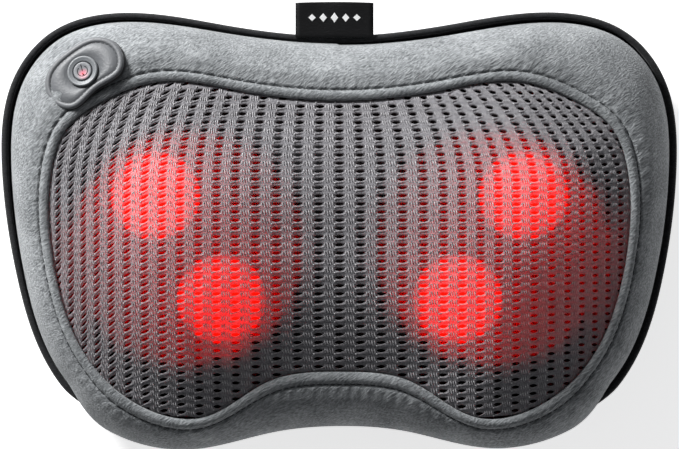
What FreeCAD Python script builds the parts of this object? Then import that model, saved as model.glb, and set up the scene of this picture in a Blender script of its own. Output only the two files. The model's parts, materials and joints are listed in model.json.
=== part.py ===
"""Shiatsu neck massager, lying on its back.

A two-lobed massage pillow. A sewn cover (plush border, air-mesh face, black back) holds a foam
surround and a plastic gear case. One motor drives two massage heads in opposite directions through
a worm, two worm-wheel idlers and two drive gears. Each head carries two lamp-lit kneading nodes.

Frame: millimetres, +Z out of the massage face, +Y towards the label, +X to the user's right when
the face is seen from the front. The origin is in the plane that the back rests on.
"""
import FreeCAD
import Part

import math
import os
import re

Vector = FreeCAD.Vector
Rotation = FreeCAD.Rotation

# ---------------------------------------------------------------- driving dimensions

SIZES = (
    # the cover
    ("pillow_width", 337.6, "cover, widest across the lobes"),
    ("pillow_height", 217.0, "cover, label edge to lobe tips"),
    ("seam_level", 45.0, "height of the seam between the front and the back of the cover"),
    ("edge_level", 82.0, "height of the edge of the mesh face"),
    ("crown_rise", 15.0, "rise of the mesh face above its edge"),
    ("crown_reach", 60.0, "distance from the edge over which the face rises"),
    ("mound_rise", 10.0, "extra rise over each massage head"),
    ("mound_radius", 45.0, "how far each mound spreads"),
    ("back_round", 20.0, "how far the flat back is inside the widest outline"),
    ("back_bulge_level", 30.0, "height at which the back cover is widest"),
    ("cover_wall", 2.5, "plush with its backing"),
    ("back_wall", 2.0, "back cover fabric"),
    ("mesh_thickness", 3.0, "air mesh"),
    ("liner_thickness", 1.0, "lining under the mesh"),
    ("piping_radius", 1.7, "piping in the cover seam"),
    ("band_width", 2.5, "how far the plush edge stands inside the piping"),
    ("layer_gap", 0.3, "free gap between soft layers"),
    ("foam_ease", 0.0045, "ease between the cover and the foam surround, share of the width"),
    ("pad_thickness", 6.0, "back foam"),
    ("topper_inset", 12.0, "foam topper inside the mesh edge"),
    ("label_width", 39.0, "woven label"),
    ("label_height", 17.7, "woven label, seam to fold"),
    ("label_thickness", 1.2, "woven label, folded double"),
    ("label_shift", -2.5, "woven label, off the middle"),
    ("label_clear", 1.6, "woven label, clear of the plush"),
    # gear case
    ("gear_clearance", 2.0, "space round the drive gears"),
    ("case_wall", 2.5, "moulded wall"),
    ("bay_half_width", 24.0, "motor bay"),
    ("boss_radius", 4.5, "screw bosses"),
    ("boss_inset", 34.5, "screw bosses, from the head axes towards the middle"),
    ("boss_edge", 8.5, "screw bosses, inside the side of the case"),
    # gear train
    ("gear_module", 1.5, "module of every gear"),
    ("drive_teeth", 52, "drive gear"),
    ("pinion_teeth", 12, "idler pinion"),
    ("wheel_teeth", 26, "idler worm wheel"),
    ("worm_radius", 7.5, "worm pitch radius"),
    ("worm_length", 22.0, "worm"),
    ("gear_face", 8.0, "face width of the gears"),
    ("gear_backlash", 0.36, "play between a tooth and its space"),
    ("gear_lift", 6.0, "drive gears above the case floor"),
    ("gear_step", 2.0, "worm wheels above the drive gears"),
    ("gear_line", -11.25, "y of the line of gear centres"),
    ("running_gap", 0.05, "radial play of a shaft in its bore"),
    # shafts
    ("spindle_radius", 5.0, "head spindle"),
    ("idler_pin_radius", 3.0, "idler pin"),
    ("bush_wall", 3.0, "spindle bush"),
    ("shaft_radius", 2.0, "motor shaft"),
    # massage heads
    ("node_orbit", 30.4, "node centre from the head axis"),
    ("head_lean", 32.6, "turn of each pair of nodes from upright, tops outward, degrees"),
    ("head_lift", 5.0, "arm above the case front"),
    ("arm_thickness", 6.0, "massage arm"),
    ("arm_end_radius", 15.0, "massage arm"),
    ("node_radius", 22.0, "kneading node"),
    ("node_height", 35.0, "outer node of each pair"),
    ("node_drop", 2.5, "how much shorter the inner node is"),
    ("node_wall", 2.8, "kneading node"),
    ("node_rim", 8.0, "straight part of the node's side"),
    ("post_radius", 4.0, "node post"),
    ("sweep_gap", 1.6, "room round the turning nodes"),
    ("lamp_board_radius", 13.0, "lamp board"),
    ("board_thickness", 1.6, "circuit boards"),
    # motor
    ("motor_radius", 16.0, "motor can"),
    ("motor_length", 46.0, "motor can"),
    ("motor_gap", 12.0, "motor face past the worm's end"),
    ("mount_ring_wall", 2.0, "rubber ring round the motor"),
    # electronics in the case
    ("board_length", 62.0, "control board"),
    ("board_width", 14.0, "control board"),
    ("board_drop", 33.0, "control board, below the gear line"),
    ("board_screw_x", 27.0, "control board's screws, from its middle"),
    ("board_stand", 4.0, "control board above the case floor"),
    # control pad
    ("control_across", 0.7435, "control pad centre, share of the half width"),
    ("control_up", 0.6866, "control pad centre, share of the half height"),
    ("control_level", 78.0, "control pad centre, back face"),
    ("control_tilt", 22.0, "control pad, leaning outwards, degrees"),
    ("control_bearing", 135.0, "direction the pad leans towards, degrees from +X"),
    ("control_length", 43.0, "control pad, long way"),
    ("control_width", 29.0, "control pad, short way"),
    ("control_turn", 38.0, "control pad's long way from +X, degrees"),
    ("control_thickness", 3.2, "control pad"),
    ("bezel_radius", 8.0, "ring round the button"),
    ("bezel_height", 1.5, "ring above the pad"),
    ("button_radius", 4.8, "power button"),
    ("button_gap", 0.25, "button in its ring"),
    ("button_travel", 0.8, "power button stroke"),
    ("switch_case_radius", 12.0, "switch case"),
    ("switch_case_depth", 14.0, "switch case"),
    # power inlet
    ("jack_level", 21.0, "height of the power inlet"),
    ("jack_radius", 5.8, "inlet barrel"),
    ("jack_length", 20.0, "inlet barrel"),
    ("jack_flange_radius", 8.0, "inlet flange"),
    ("socket_radius", 2.85, "hole that takes the lead's plug"),
    ("socket_depth", 9.5, "hole that takes the lead's plug"),
    ("socket_pin_radius", 1.05, "centre pin"),
    ("socket_pin_length", 8.5, "centre pin"),
    # zip on the back
    ("zip_length", 150.0, "zip opening"),
    ("zip_line", -68.0, "y of the zip"),
    ("tape_width", 10.0, "one zip tape"),
    ("zip_row_gap", 1.4, "between the two rows of teeth"),
    ("zip_row_width", 1.7, "one row of teeth"),
    ("zip_stroke", 130.0, "slider's run"),
)

PLACES = (
    ("half_width", "pillow_width / 2"),
    ("half_height", "pillow_height / 2"),
    ("wheel_radius", "gear_module * wheel_teeth / 2"),
    ("pinion_radius", "gear_module * pinion_teeth / 2"),
    ("drive_radius", "gear_module * drive_teeth / 2"),
    ("idler_x", "worm_radius + wheel_radius"),
    ("head_x", "idler_x + pinion_radius + drive_radius"),
    ("case_radius", "drive_radius + gear_module + gear_clearance + case_wall"),
    ("boss_x", "head_x - boss_inset"),
    ("boss_y", "case_radius - boss_edge"),
    ("foam_gap", "pillow_width * foam_ease"),
    ("control_x", "-half_width * control_across"),
    ("control_y", "half_height * control_up"),
    ("floor_under", "back_wall + pad_thickness + 2 * layer_gap"),
    ("floor_top", "floor_under + case_wall"),
    ("gear_bottom", "floor_top + gear_lift"),
    ("gear_top", "gear_bottom + gear_face"),
    ("wheel_bottom", "gear_top + gear_step"),
    ("wheel_top", "wheel_bottom + gear_face"),
    ("motor_axis", "wheel_bottom + gear_face / 2"),
    ("front_under", "motor_axis + worm_radius + gear_module + 2"),
    ("front_top", "front_under + case_wall"),
    ("arm_bottom", "front_top + head_lift"),
    ("arm_top", "arm_bottom + arm_thickness"),
    ("node_bottom", "arm_top + 1"),
    ("roof_under", "motor_axis + motor_radius + mount_ring_wall + 3"),
    ("roof_top", "roof_under + case_wall"),
    ("motor_start", "gear_line + worm_length / 2 + motor_gap"),
    ("motor_end", "motor_start + motor_length"),
    ("bay_start", "motor_start - 6"),
    ("bay_end", "motor_end + 12"),
    ("sweep_radius", "node_orbit + node_radius + sweep_gap"),
    ("bush_radius", "spindle_radius + bush_wall"),
    ("ring_under", "arm_bottom - 2"),
    ("saddle_radius", "motor_radius + mount_ring_wall"),
    ("liner_top", "edge_level - mesh_thickness - layer_gap"),
    ("liner_under", "liner_top - liner_thickness"),
    ("channel_width", "2 * (tape_width + zip_row_width) + zip_row_gap"),
)

# Right half of each closed outline, from the label edge round to the lobe edge, as shares of half
# the cover's width and height. The two lists run point for point, so the border blends between them.
COVER_OUTLINE = (
    (0.000, 0.869), (0.331, 0.920), (0.616, 0.977), (0.850, 0.888), (0.966, 0.666), (1.000, 0.276),
    (0.960, -0.219), (0.838, -0.717), (0.677, -0.938), (0.444, -1.023), (0.190, -0.946), (0.000, -0.924),
)
MESH_OUTLINE = (
    (0.000, 0.567), (0.296, 0.613), (0.521, 0.654), (0.699, 0.558), (0.797, 0.442), (0.844, 0.249),
    (0.838, -0.166), (0.738, -0.608), (0.581, -0.829), (0.397, -0.880), (0.207, -0.717), (0.000, -0.673),
)

LABEL_EDGE = COVER_OUTLINE[0][1]
LOWER_EDGE = -COVER_OUTLINE[-1][1]
PRESSURE_ANGLE = math.radians(20)
DRIVE_ADDENDUM = 0.75   # of the module, short so that its tips clear the small pinion's roots
PLAIN_ADDENDUM = 0.95
DEDENDUM = 1.2
PIPING_RINGS = 44   # sections round the piping
UPRIGHT = Rotation()
ALONG_Y = Rotation(Vector(1, 0, 0), -90)
SIDES = (("left", -1), ("right", 1))

doc = FreeCAD.newDocument("ShiatsuMassagePillow")
sheet = doc.addObject("Spreadsheet::Sheet", "Sizes")
places = doc.addObject("App::VarSet", "Places")
subparts = []


def fill_sheet():
    """Write every driving dimension and its meaning in the sheet, and bind the places to them."""
    for row, (name, number, meaning) in enumerate(SIZES, start=1):
        sheet.set(f"A{row}", name)
        sheet.set(f"B{row}", str(number))
        sheet.set(f"C{row}", meaning)
        sheet.setAlias(f"B{row}", name)
    doc.recompute()
    for name, text in PLACES:
        places.addProperty("App::PropertyFloat", name)
        places.setExpression(name, formula(text))
    doc.recompute()


SIZE_NAMES = {name for name, _, _ in SIZES}
PLACE_NAMES = {name for name, _ in PLACES}


def formula(text):
    """Return the text with each size or place name written as the document refers to it."""
    def refer(match):
        word = match.group()
        if word in SIZE_NAMES:
            return "Sizes." + word
        if word in PLACE_NAMES:
            return "Places." + word
        return word
    return re.sub(r"[a-z_]+", refer, str(text))


def size(name):
    """Return a driving dimension or a place as a number."""
    return float(sheet.get(name)) if name in SIZE_NAMES else float(getattr(places, name))


# ---------------------------------------------------------------- building blocks

def place(piece, at, turned=UPRIGHT):
    piece.Placement = FreeCAD.Placement(Vector(), turned)
    for letter, text in zip("xyz", at):
        piece.setExpression("Placement.Base." + letter, formula(text))
    return piece


def cylinder(radius, height, at, turned=UPRIGHT):
    piece = doc.addObject("Part::Cylinder", "Cylinder")
    piece.setExpression("Radius", formula(radius))
    piece.setExpression("Height", formula(height))
    return place(piece, at, turned)


def box(length, width, height, centre_x, centre_y, bottom):
    piece = doc.addObject("Part::Box", "Box")
    piece.setExpression("Length", formula(length))
    piece.setExpression("Width", formula(width))
    piece.setExpression("Height", formula(height))
    return place(piece, (f"{centre_x} - ({length}) / 2", f"{centre_y} - ({width}) / 2", bottom))


def fuse(*pieces):
    result = doc.addObject("Part::MultiFuse", "Fusion")
    result.Shapes = list(pieces)
    return result


def cut(base, *tools):
    result = doc.addObject("Part::Cut", "Cut")
    result.Base = base
    result.Tool = tools[0] if len(tools) == 1 else fuse(*tools)
    return result


def group(*pieces):
    result = doc.addObject("Part::Compound", "Group")
    result.Links = list(pieces)
    return result


def shaped(shape, at=None, turned=UPRIGHT):
    """Add a shape worked out with Part's own functions, then give it its place."""
    piece = doc.addObject("Part::Feature", "Shaped")
    piece.Shape = shape
    return place(piece, at, turned) if at else piece


def tube(outer, inner, height, at, turned=UPRIGHT):
    return cut(cylinder(outer, height, at, turned), cylinder(inner, height, at, turned))


def subpart(label, piece):
    piece.Label = label
    subparts.append(piece)
    return piece


# ---------------------------------------------------------------- soft cover shapes

def mirrored_outline(half):
    """Return the closed outline's points, in millimetres, clockwise from the label edge."""
    right = [Vector(x * size("half_width"), y * size("half_height"), 0) for x, y in half]
    left = [Vector(-point.x, point.y, 0) for point in right[-2:0:-1]]
    return right + left


def outline_wire(blend, inset, level):
    """Return a closed smooth wire between the cover outline (blend 0) and the mesh outline (blend 1)."""
    cover = mirrored_outline(COVER_OUTLINE)
    mesh = mirrored_outline(MESH_OUTLINE)
    points = [a * (1 - blend) + b * blend for a, b in zip(cover, mesh)]
    moved = []
    for index, point in enumerate(points):
        along = points[(index + 1) % len(points)] - points[index - 1]
        outward = Vector(-along.y, along.x, 0).normalize()
        moved.append(point - outward * inset + Vector(0, 0, level))
    curve = Part.BSplineCurve()
    curve.interpolate(Points=moved, PeriodicFlag=True)
    return Part.Wire([curve.toShape()])


def back_sections(offset):
    """Return the back cover's sections from the flat back to the seam, offset inwards."""
    sections = []
    for step in range(5):
        angle = math.radians(22.5 * step)
        level = size("back_bulge_level") * (1 - math.cos(angle)) + offset * math.cos(angle)
        inset = size("back_round") * (1 - math.sin(angle)) + offset * math.sin(angle)
        sections.append(outline_wire(0, inset, level))
    sections.append(outline_wire(0, 0.8 + offset,
                                 size("seam_level") - size("piping_radius") - size("layer_gap")))
    return sections


def front_sections(offset, steps=5):
    """Return the plush border's sections from the seam to the mesh edge, offset inwards."""
    start = size("seam_level") + size("piping_radius") + size("layer_gap")
    rise = size("edge_level") - start
    sections = []
    for step in range(steps):
        angle = math.radians(90 * step / (steps - 1))
        blend = 1 - math.cos(angle)
        inset = size("band_width") * (1 - blend) + offset * math.cos(angle)
        sections.append(outline_wire(blend, inset, start + (rise - offset) * math.sin(angle)))
    return sections


def loft(sections):
    return Part.makeLoft(sections, True, False)


def prism(wire, height):
    return Part.Face(wire).extrude(Vector(0, 0, height))


def mesh_prism(inset, bottom, height):
    return prism(outline_wire(1, inset, bottom), height)


def face_height(x, y, edge_wire, edge_face):
    """Return the height of the massage face above a point of the base plane."""
    foot = Vector(x, y, 0)
    distance = edge_wire.distToShape(Part.Vertex(foot))[0]
    if not edge_face.isInside(foot, 0.01, True):
        return size("edge_level") - 0.35 * distance
    share = min(distance / size("crown_reach"), 1)
    height = size("edge_level") + size("crown_rise") * math.sin(math.pi / 2 * share)
    for _, side in SIDES:
        radius = math.hypot(x - side * size("head_x"), y - size("gear_line"))
        spread = math.exp(-((radius / size("mound_radius")) ** 2))
        height += size("mound_rise") * spread * min(1, distance / 20)
    return height


def face_slab(thickness):
    """Return a slab whose top is the massage face's free-form surface."""
    edge_wire = outline_wire(1, 0, 0)
    edge_face = Part.Face(edge_wire)
    columns = 25
    rows = 17
    rows_of_points = []
    for column in range(columns):
        x = size("half_width") * (2 * column / (columns - 1) - 1)
        line = []
        for row in range(rows):
            y = size("half_height") * (2 * row / (rows - 1) - 1)
            line.append(Vector(x, y, face_height(x, y, edge_wire, edge_face)))
        rows_of_points.append(line)
    surface = Part.BSplineSurface()
    surface.interpolate(rows_of_points)
    return surface.toShape().extrude(Vector(0, 0, -thickness))


def lowered(shape, drop):
    copy = shape.copy()
    copy.translate(Vector(0, 0, -drop))
    return copy


# ---------------------------------------------------------------- gear shapes

def polar(radius, angle):
    return Vector(radius * math.cos(angle), radius * math.sin(angle), 0)


def involute_angle(radius, base_radius):
    """Return the angle that an involute has turned through where it reaches a radius."""
    if radius <= base_radius:
        return 0.0
    roll = math.sqrt((radius / base_radius) ** 2 - 1)
    return roll - math.atan(roll)


def gear_wire(teeth, addendum, turn=0.0, level=0.0):
    """Return the outline of a spur gear with a tooth centred on the +X side, turned by an angle."""
    module = size("gear_module")
    pitch_radius = module * teeth / 2
    base_radius = pitch_radius * math.cos(PRESSURE_ANGLE)
    tip_radius = pitch_radius + addendum * module
    root_radius = pitch_radius - DEDENDUM * module
    half_pitch_tooth = math.pi / (2 * teeth) - size("gear_backlash") / (4 * pitch_radius)
    half_base_tooth = half_pitch_tooth + involute_angle(pitch_radius, base_radius)
    flank_start = max(root_radius, base_radius)
    step = 2 * math.pi / teeth
    radii = (flank_start, (flank_start + tip_radius) / 2, tip_radius)
    half_root = half_base_tooth - involute_angle(flank_start, base_radius)
    edges = []
    for tooth in range(teeth):
        middle = turn + tooth * step
        rising = [polar(r, middle - half_base_tooth + involute_angle(r, base_radius)) for r in radii]
        falling = [polar(r, middle + half_base_tooth - involute_angle(r, base_radius)) for r in radii[::-1]]
        root_in = polar(root_radius, middle - half_root)
        root_out = polar(root_radius, middle + half_root)
        if flank_start > root_radius + 0.01:
            edges.append(Part.LineSegment(root_in, rising[0]).toShape())
        edges.append(Part.Arc(*rising).toShape())
        edges.append(Part.Arc(rising[-1], polar(tip_radius, middle), falling[0]).toShape())
        edges.append(Part.Arc(*falling).toShape())
        if flank_start > root_radius + 0.01:
            edges.append(Part.LineSegment(falling[-1], root_out).toShape())
        next_in = polar(root_radius, middle + step - half_root)
        valley = polar(root_radius, middle + step / 2)
        edges.append(Part.Arc(root_out if flank_start > root_radius + 0.01 else falling[-1],
                              valley, next_in).toShape())
    wire = Part.Wire(edges)
    wire.translate(Vector(0, 0, level))
    return wire


def spur_gear(teeth, addendum, turn, bottom, face):
    return prism(gear_wire(teeth, addendum, turn, bottom), face)


def worm_wheel(turn, bottom, face):
    """Return the worm wheel: its teeth lean by the worm's lead angle across the face."""
    lead_slope = size("gear_module") / 2 / size("worm_radius")
    half_twist = lead_slope * face / 2 / size("wheel_radius")
    teeth = int(size("wheel_teeth"))
    lower = gear_wire(teeth, DRIVE_ADDENDUM, turn - half_twist, bottom)
    upper = gear_wire(teeth, DRIVE_ADDENDUM, turn + half_twist, bottom + face)
    return Part.makeLoft([lower, upper], True, True)


def worm_shape(length):
    """Return a right-hand single-start worm along Z, centred on the origin, thread to +X there.

    Its cross-section is a cam: a root arc, a flank that climbs evenly, a tip arc and the other
    flank. The cam is swept up the axis and turned once for each lead.
    """
    module = size("gear_module")
    lead = math.pi * module
    angle_per_mm = 2 * math.pi / lead
    tip_radius = size("worm_radius") + DRIVE_ADDENDUM * module
    root_radius = size("worm_radius") - DEDENDUM * module

    def half_angle(radius):
        half_width = lead / 4 - size("gear_backlash") / 4
        return (half_width - (radius - size("worm_radius")) * math.tan(PRESSURE_ANGLE)) * angle_per_mm

    radii = [root_radius + (tip_radius - root_radius) * share / 4 for share in range(5)]
    start = -length / 2 * angle_per_mm
    rising = Part.BSplineCurve()
    rising.interpolate([polar(r, start - half_angle(r)) for r in radii])
    falling = Part.BSplineCurve()
    falling.interpolate([polar(r, start + half_angle(r)) for r in radii[::-1]])
    tip = Part.Arc(polar(tip_radius, start - half_angle(tip_radius)), polar(tip_radius, start),
                   polar(tip_radius, start + half_angle(tip_radius)))
    root = Part.Arc(polar(root_radius, start + half_angle(root_radius)), polar(root_radius, start + math.pi),
                    polar(root_radius, start - half_angle(root_radius)))
    cam = Part.Wire([rising.toShape(), tip.toShape(), falling.toShape(), root.toShape()])
    cam.translate(Vector(0, 0, -length / 2))
    spine = Part.Wire([Part.LineSegment(Vector(0, 0, -length / 2), Vector(0, 0, length / 2)).toShape()])
    guide = Part.makeHelix(lead, length, tip_radius + 5)
    guide.translate(Vector(0, 0, -length / 2))
    sweep = Part.BRepOffsetAPI.MakePipeShell(spine)
    sweep.setAuxiliarySpine(Part.Wire(guide), True, 0)
    sweep.add(cam)
    sweep.build()
    sweep.makeSolid()
    return sweep.shape()


def dome(radius, rim, height):
    """Return a solid dome on the base plane: a straight rim, then a quarter-ellipse crown."""
    quarter = [Vector(radius * math.cos(a), 0, rim + (height - rim) * math.sin(a))
               for a in [math.radians(15 * step) for step in range(7)]]
    arc = Part.BSplineCurve()
    arc.interpolate(Points=quarter, InitialTangent=Vector(0, 0, 1), FinalTangent=Vector(-1, 0, 0))
    outline = [
        Part.LineSegment(Vector(0, 0, 0), Vector(radius, 0, 0)).toShape(),
        Part.LineSegment(Vector(radius, 0, 0), Vector(radius, 0, rim)).toShape(),
        arc.toShape(),
        Part.LineSegment(Vector(0, 0, height), Vector(0, 0, 0)).toShape(),
    ]
    return Part.Face(Part.Wire(outline)).revolve(Vector(), Vector(0, 0, 1), 360)


def screw(shank_radius, shank_length):
    """Return a pan-head screw: head above the base plane, shank below it, cross recess in the head."""
    head = Part.makeCylinder(2 * shank_radius, 1.3 * shank_radius)
    head = head.makeFillet(0.4 * shank_radius, [head.Edges[0]])
    shank = Part.makeCylinder(shank_radius, shank_length, Vector(0, 0, -shank_length))
    recess = Part.makeBox(2 * shank_radius, 0.4 * shank_radius, shank_radius,
                          Vector(-shank_radius, -0.2 * shank_radius, 0.6 * shank_radius))
    turned = recess.copy()
    turned.rotate(Vector(), Vector(0, 0, 1), 90)
    return head.fuse(shank).cut(recess.fuse(turned))


# ---------------------------------------------------------------- cover and foam

def case_block(grow, bottom, top):
    """Return the gear case's plan, grown by a margin, between two levels."""
    radius = f"case_radius + {grow}"
    height = f"({top}) - ({bottom})"
    middle = box("2 * head_x", f"2 * ({radius})", height, "0", "gear_line", bottom)
    ends = [cylinder(radius, height, (f"{side} * head_x", "gear_line", bottom)) for _, side in SIDES]
    bay = box(f"2 * (bay_half_width + {grow})", f"bay_end + {grow} - gear_line", height,
              "0", f"gear_line + (bay_end + {grow} - gear_line) / 2", bottom)
    return fuse(middle, *ends, bay)


def bay_block(grow, bottom, top):
    """Return the raised roof over the motor, grown by a margin, between two levels."""
    length = f"bay_end - bay_start + 2 * ({grow})"
    return box(f"2 * (bay_half_width + {grow})", length, f"({top}) - ({bottom})",
               "0", "(bay_start + bay_end) / 2", bottom)


def sweeps(bottom):
    """Return the two round spaces that the turning nodes need."""
    return [cylinder("sweep_radius", "60", (f"{side} * head_x", "gear_line", bottom)) for _, side in SIDES]


def control_place():
    """Return the control pad's place: its back face's centre, leaning outwards and along its long side."""
    bearing = math.radians(size("control_bearing"))
    lean = Rotation(Vector(-math.sin(bearing), math.cos(bearing), 0), size("control_tilt"))
    return FreeCAD.Placement(Vector(size("control_x"), size("control_y"), size("control_level")), lean)


def on_control(shape):
    """Add a shape drawn on the control pad's back face, and put it there."""
    piece = doc.addObject("Part::Feature", "OnControl")
    piece.Shape = shape
    piece.Placement = control_place()
    return piece


def control_outline(grow):
    """Return the pad's bean outline: round along one side, slightly hollow along the other."""
    half_length = size("control_length") / 2 + grow
    half_width = size("control_width") / 2 + grow
    points = [
        Vector(-half_length, 0.10 * half_width, 0), Vector(-0.72 * half_length, 0.80 * half_width, 0),
        Vector(0, half_width, 0), Vector(0.72 * half_length, 0.74 * half_width, 0),
        Vector(half_length, -0.05 * half_width, 0), Vector(0.70 * half_length, -0.84 * half_width, 0),
        Vector(0, -0.80 * half_width, 0), Vector(-0.70 * half_length, -0.80 * half_width, 0),
    ]
    curve = Part.BSplineCurve()
    curve.interpolate(Points=points, PeriodicFlag=True)
    wire = Part.Wire([curve.toShape()])
    wire.rotate(Vector(), Vector(0, 0, 1), size("control_turn"))
    return wire


def jack_bore(radius, start, length):
    """Return a cylinder on the power inlet's axis, from a distance inside the cover edge, outwards."""
    return cylinder(radius, length, ("0", f"-half_height * {LOWER_EDGE} + 0.7 + ({start})", "jack_level"),
                    ALONG_Y)


def make_cover():
    gap = size("layer_gap")
    front_outer = loft(front_sections(0))
    front_start = size("seam_level") + size("piping_radius") + gap
    front_inner_sections = front_sections(size("cover_wall"))
    skirt = outline_wire(0, size("band_width") + size("cover_wall"), front_start - 1)
    front_inner = loft([skirt] + front_inner_sections)
    opening = mesh_prism(0, front_start, 60)
    plush = shaped(front_outer.cut(front_inner).cut(opening))
    pad_seat = on_control(prism(control_outline(gap), 12))
    case_seat = on_control(Part.makeCylinder(size("switch_case_radius") + gap, 24, Vector(0, 0, -20)))
    subpart("plush_front_cover", cut(plush, pad_seat, case_seat))

    back_outer = loft(back_sections(0))
    top = outline_wire(0, 0.8 + size("back_wall"), size("seam_level") + 5)
    back_inner = loft(back_sections(size("back_wall")) + [top])
    zip_slot = box("zip_length + 2", "channel_width + 0.6", "back_wall + 2", "0", "zip_line", "-1")
    jack_hole = jack_bore("jack_flange_radius + layer_gap", "-6", "14")
    subpart("back_cover", cut(shaped(back_outer.cut(back_inner)), zip_slot, jack_hole))

    edge = outline_wire(0, size("piping_radius"), size("seam_level")).Edges[0]
    rings = []
    for step in range(PIPING_RINGS):
        where = edge.FirstParameter + (edge.LastParameter - edge.FirstParameter) * step / PIPING_RINGS
        circle = Part.makeCircle(size("piping_radius"), edge.valueAt(where), edge.tangentAt(where))
        rings.append(Part.Wire([circle]))
    subpart("seam_piping", shaped(Part.makeLoft(rings, True, False, True)))

    slab = face_slab(size("mesh_thickness"))
    subpart("mesh_panel", shaped(slab.common(mesh_prism(gap, 0, 200))))
    liner = lowered(face_slab(size("liner_thickness")), size("mesh_thickness") + gap)
    subpart("inner_liner", shaped(liner.common(mesh_prism(2 * gap, 0, 200))))

    label = box("label_width", "label_height", "label_thickness", "label_shift",
                f"half_height * {LABEL_EDGE} - band_width + label_clear + label_height / 2",
                "seam_level + piping_radius + 0.2")
    subpart("top_label", label)


def make_foam():
    gap = size("layer_gap")
    back = back_sections(size("back_wall") + gap)
    front = front_sections(size("cover_wall") + size("foam_gap"))
    inside = loft(back[:-1] + front)
    pad_level = size("back_wall") + gap
    slab = Part.makeBox(600, 600, size("pad_thickness"), Vector(-300, -300, pad_level))
    channel = box("zip_length + 16", "channel_width + 4", "4", "0", "zip_line", "0.5")
    subpart("foam_back_pad", cut(shaped(inside.common(slab)), channel))

    above = Part.makeBox(600, 600, 200, Vector(-300, -300, size("floor_under")))
    room_for_face = mesh_prism(-gap, size("liner_under") - gap, 60)
    blank = shaped(inside.common(above).cut(room_for_face))
    case_room = case_block("layer_gap", "floor_under - 1", "front_top + layer_gap")
    bay_room = bay_block("layer_gap", "floor_under", "roof_top + layer_gap")
    switch_room = on_control(Part.makeCylinder(size("switch_case_radius") + gap, 40, Vector(0, 0, -20)))
    jack_room = jack_bore("10", "0", "24")
    subpart("foam_surround", cut(blank, case_room, bay_room, *sweeps("front_top - 1"), switch_room,
                                 jack_room))

    under_face = lowered(face_slab(40), size("edge_level") - size("liner_under") + gap)
    topper_edge = mesh_prism(size("topper_inset"), size("liner_under"), 60)
    subpart("foam_topper", cut(shaped(under_face.common(topper_edge)), *sweeps("front_top - 1")))


# ---------------------------------------------------------------- gear case

def boss_places():
    return [(f"{x} * boss_x", f"gear_line + {y} * boss_y") for x in (-1, 1) for y in (-1, 1)]


def board_places():
    return [(f"{x} * board_screw_x", "gear_line - board_drop") for x in (-1, 1)]


def idler_places():
    return [(f"{side} * idler_x", "gear_line") for _, side in SIDES]


def head_places():
    return [(f"{side} * head_x", "gear_line") for _, side in SIDES]


def make_case():
    shell = cut(case_block("0", "floor_under", "front_under"),
                case_block("-case_wall", "floor_top", "front_under + 1"))
    bosses = [cylinder("boss_radius", "front_under - floor_top", (*at, "floor_top")) for at in boss_places()]
    stands = [cylinder("idler_pin_radius + 3", "gear_lift - 0.3", (*at,
                                                                   "floor_top")) for at in idler_places()]
    saddles = [box("2 * bay_half_width - 2 * case_wall - 1", "6", "motor_axis - 3 - floor_top",
                   "0", f"{at}", "floor_top") for at in ("motor_start + 8", "motor_end - 8")]
    board_stands = [cylinder("3", "board_stand", (*at, "floor_top")) for at in board_places()]
    saddle_room = cylinder("saddle_radius", "motor_length", ("0", "motor_start", "motor_axis"), ALONG_Y)
    screw_holes = [cylinder("1.5", "14", (*at, "front_under - 12")) for at in boss_places()]
    pin_holes = [cylinder("idler_pin_radius", "gear_lift + 1", (*at,
                                                                "floor_top - 1")) for at in idler_places()]
    board_holes = [cylinder("1", "board_stand + 1", (*at, "floor_top - 1")) for at in board_places()]
    body = fuse(shell, *bosses, *stands, *saddles, *board_stands)
    subpart("housing_rear", cut(body, saddle_room, *screw_holes, *pin_holes, *board_holes))

    plate = case_block("0", "front_under", "front_top")
    roof = bay_block("0", "front_under", "roof_top")
    hollow = bay_block("-case_wall", "front_under - 1", "roof_under")
    bush_holes = [cylinder("bush_radius", "6", (*at, "front_under - 1")) for at in head_places()]
    front_holes = [cylinder("1.5", "6", (*at, "front_under - 1")) for at in boss_places()]
    pin_tops = [cylinder("idler_pin_radius", "1.5", (*at, "front_under - 0.5")) for at in idler_places()]
    subpart("housing_front", cut(fuse(plate, roof), hollow, *bush_holes, *front_holes, *pin_tops))

    screws = [shaped(screw(1.5, 13), (*at, "front_top")) for at in boss_places()]
    board_top = "floor_top + board_stand + board_thickness"
    board_screws = [shaped(screw(1, 5), (*at, board_top)) for at in board_places()]
    subpart("case_screws", group(*screws, *board_screws))
    pins = [cylinder("idler_pin_radius", "front_under - floor_top + 2", (*at, "floor_top - 1"))
            for at in idler_places()]
    subpart("idler_pins", group(*pins))
    lower = [tube("bush_radius", "spindle_radius + running_gap", "gear_lift - 1", (*at, "floor_top"))
             for at in head_places()]
    subpart("lower_bushes", group(*lower))
    upper = []
    for at in head_places():
        sleeve = fuse(cylinder("bush_radius", "case_wall + 1", (*at, "front_under")),
                      cylinder("bush_radius + 2", "1", (*at, "front_top")))
        upper.append(cut(sleeve, cylinder("spindle_radius + running_gap", "9", (*at, "front_under - 1"))))
    subpart("upper_bushes", group(*upper))


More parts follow.
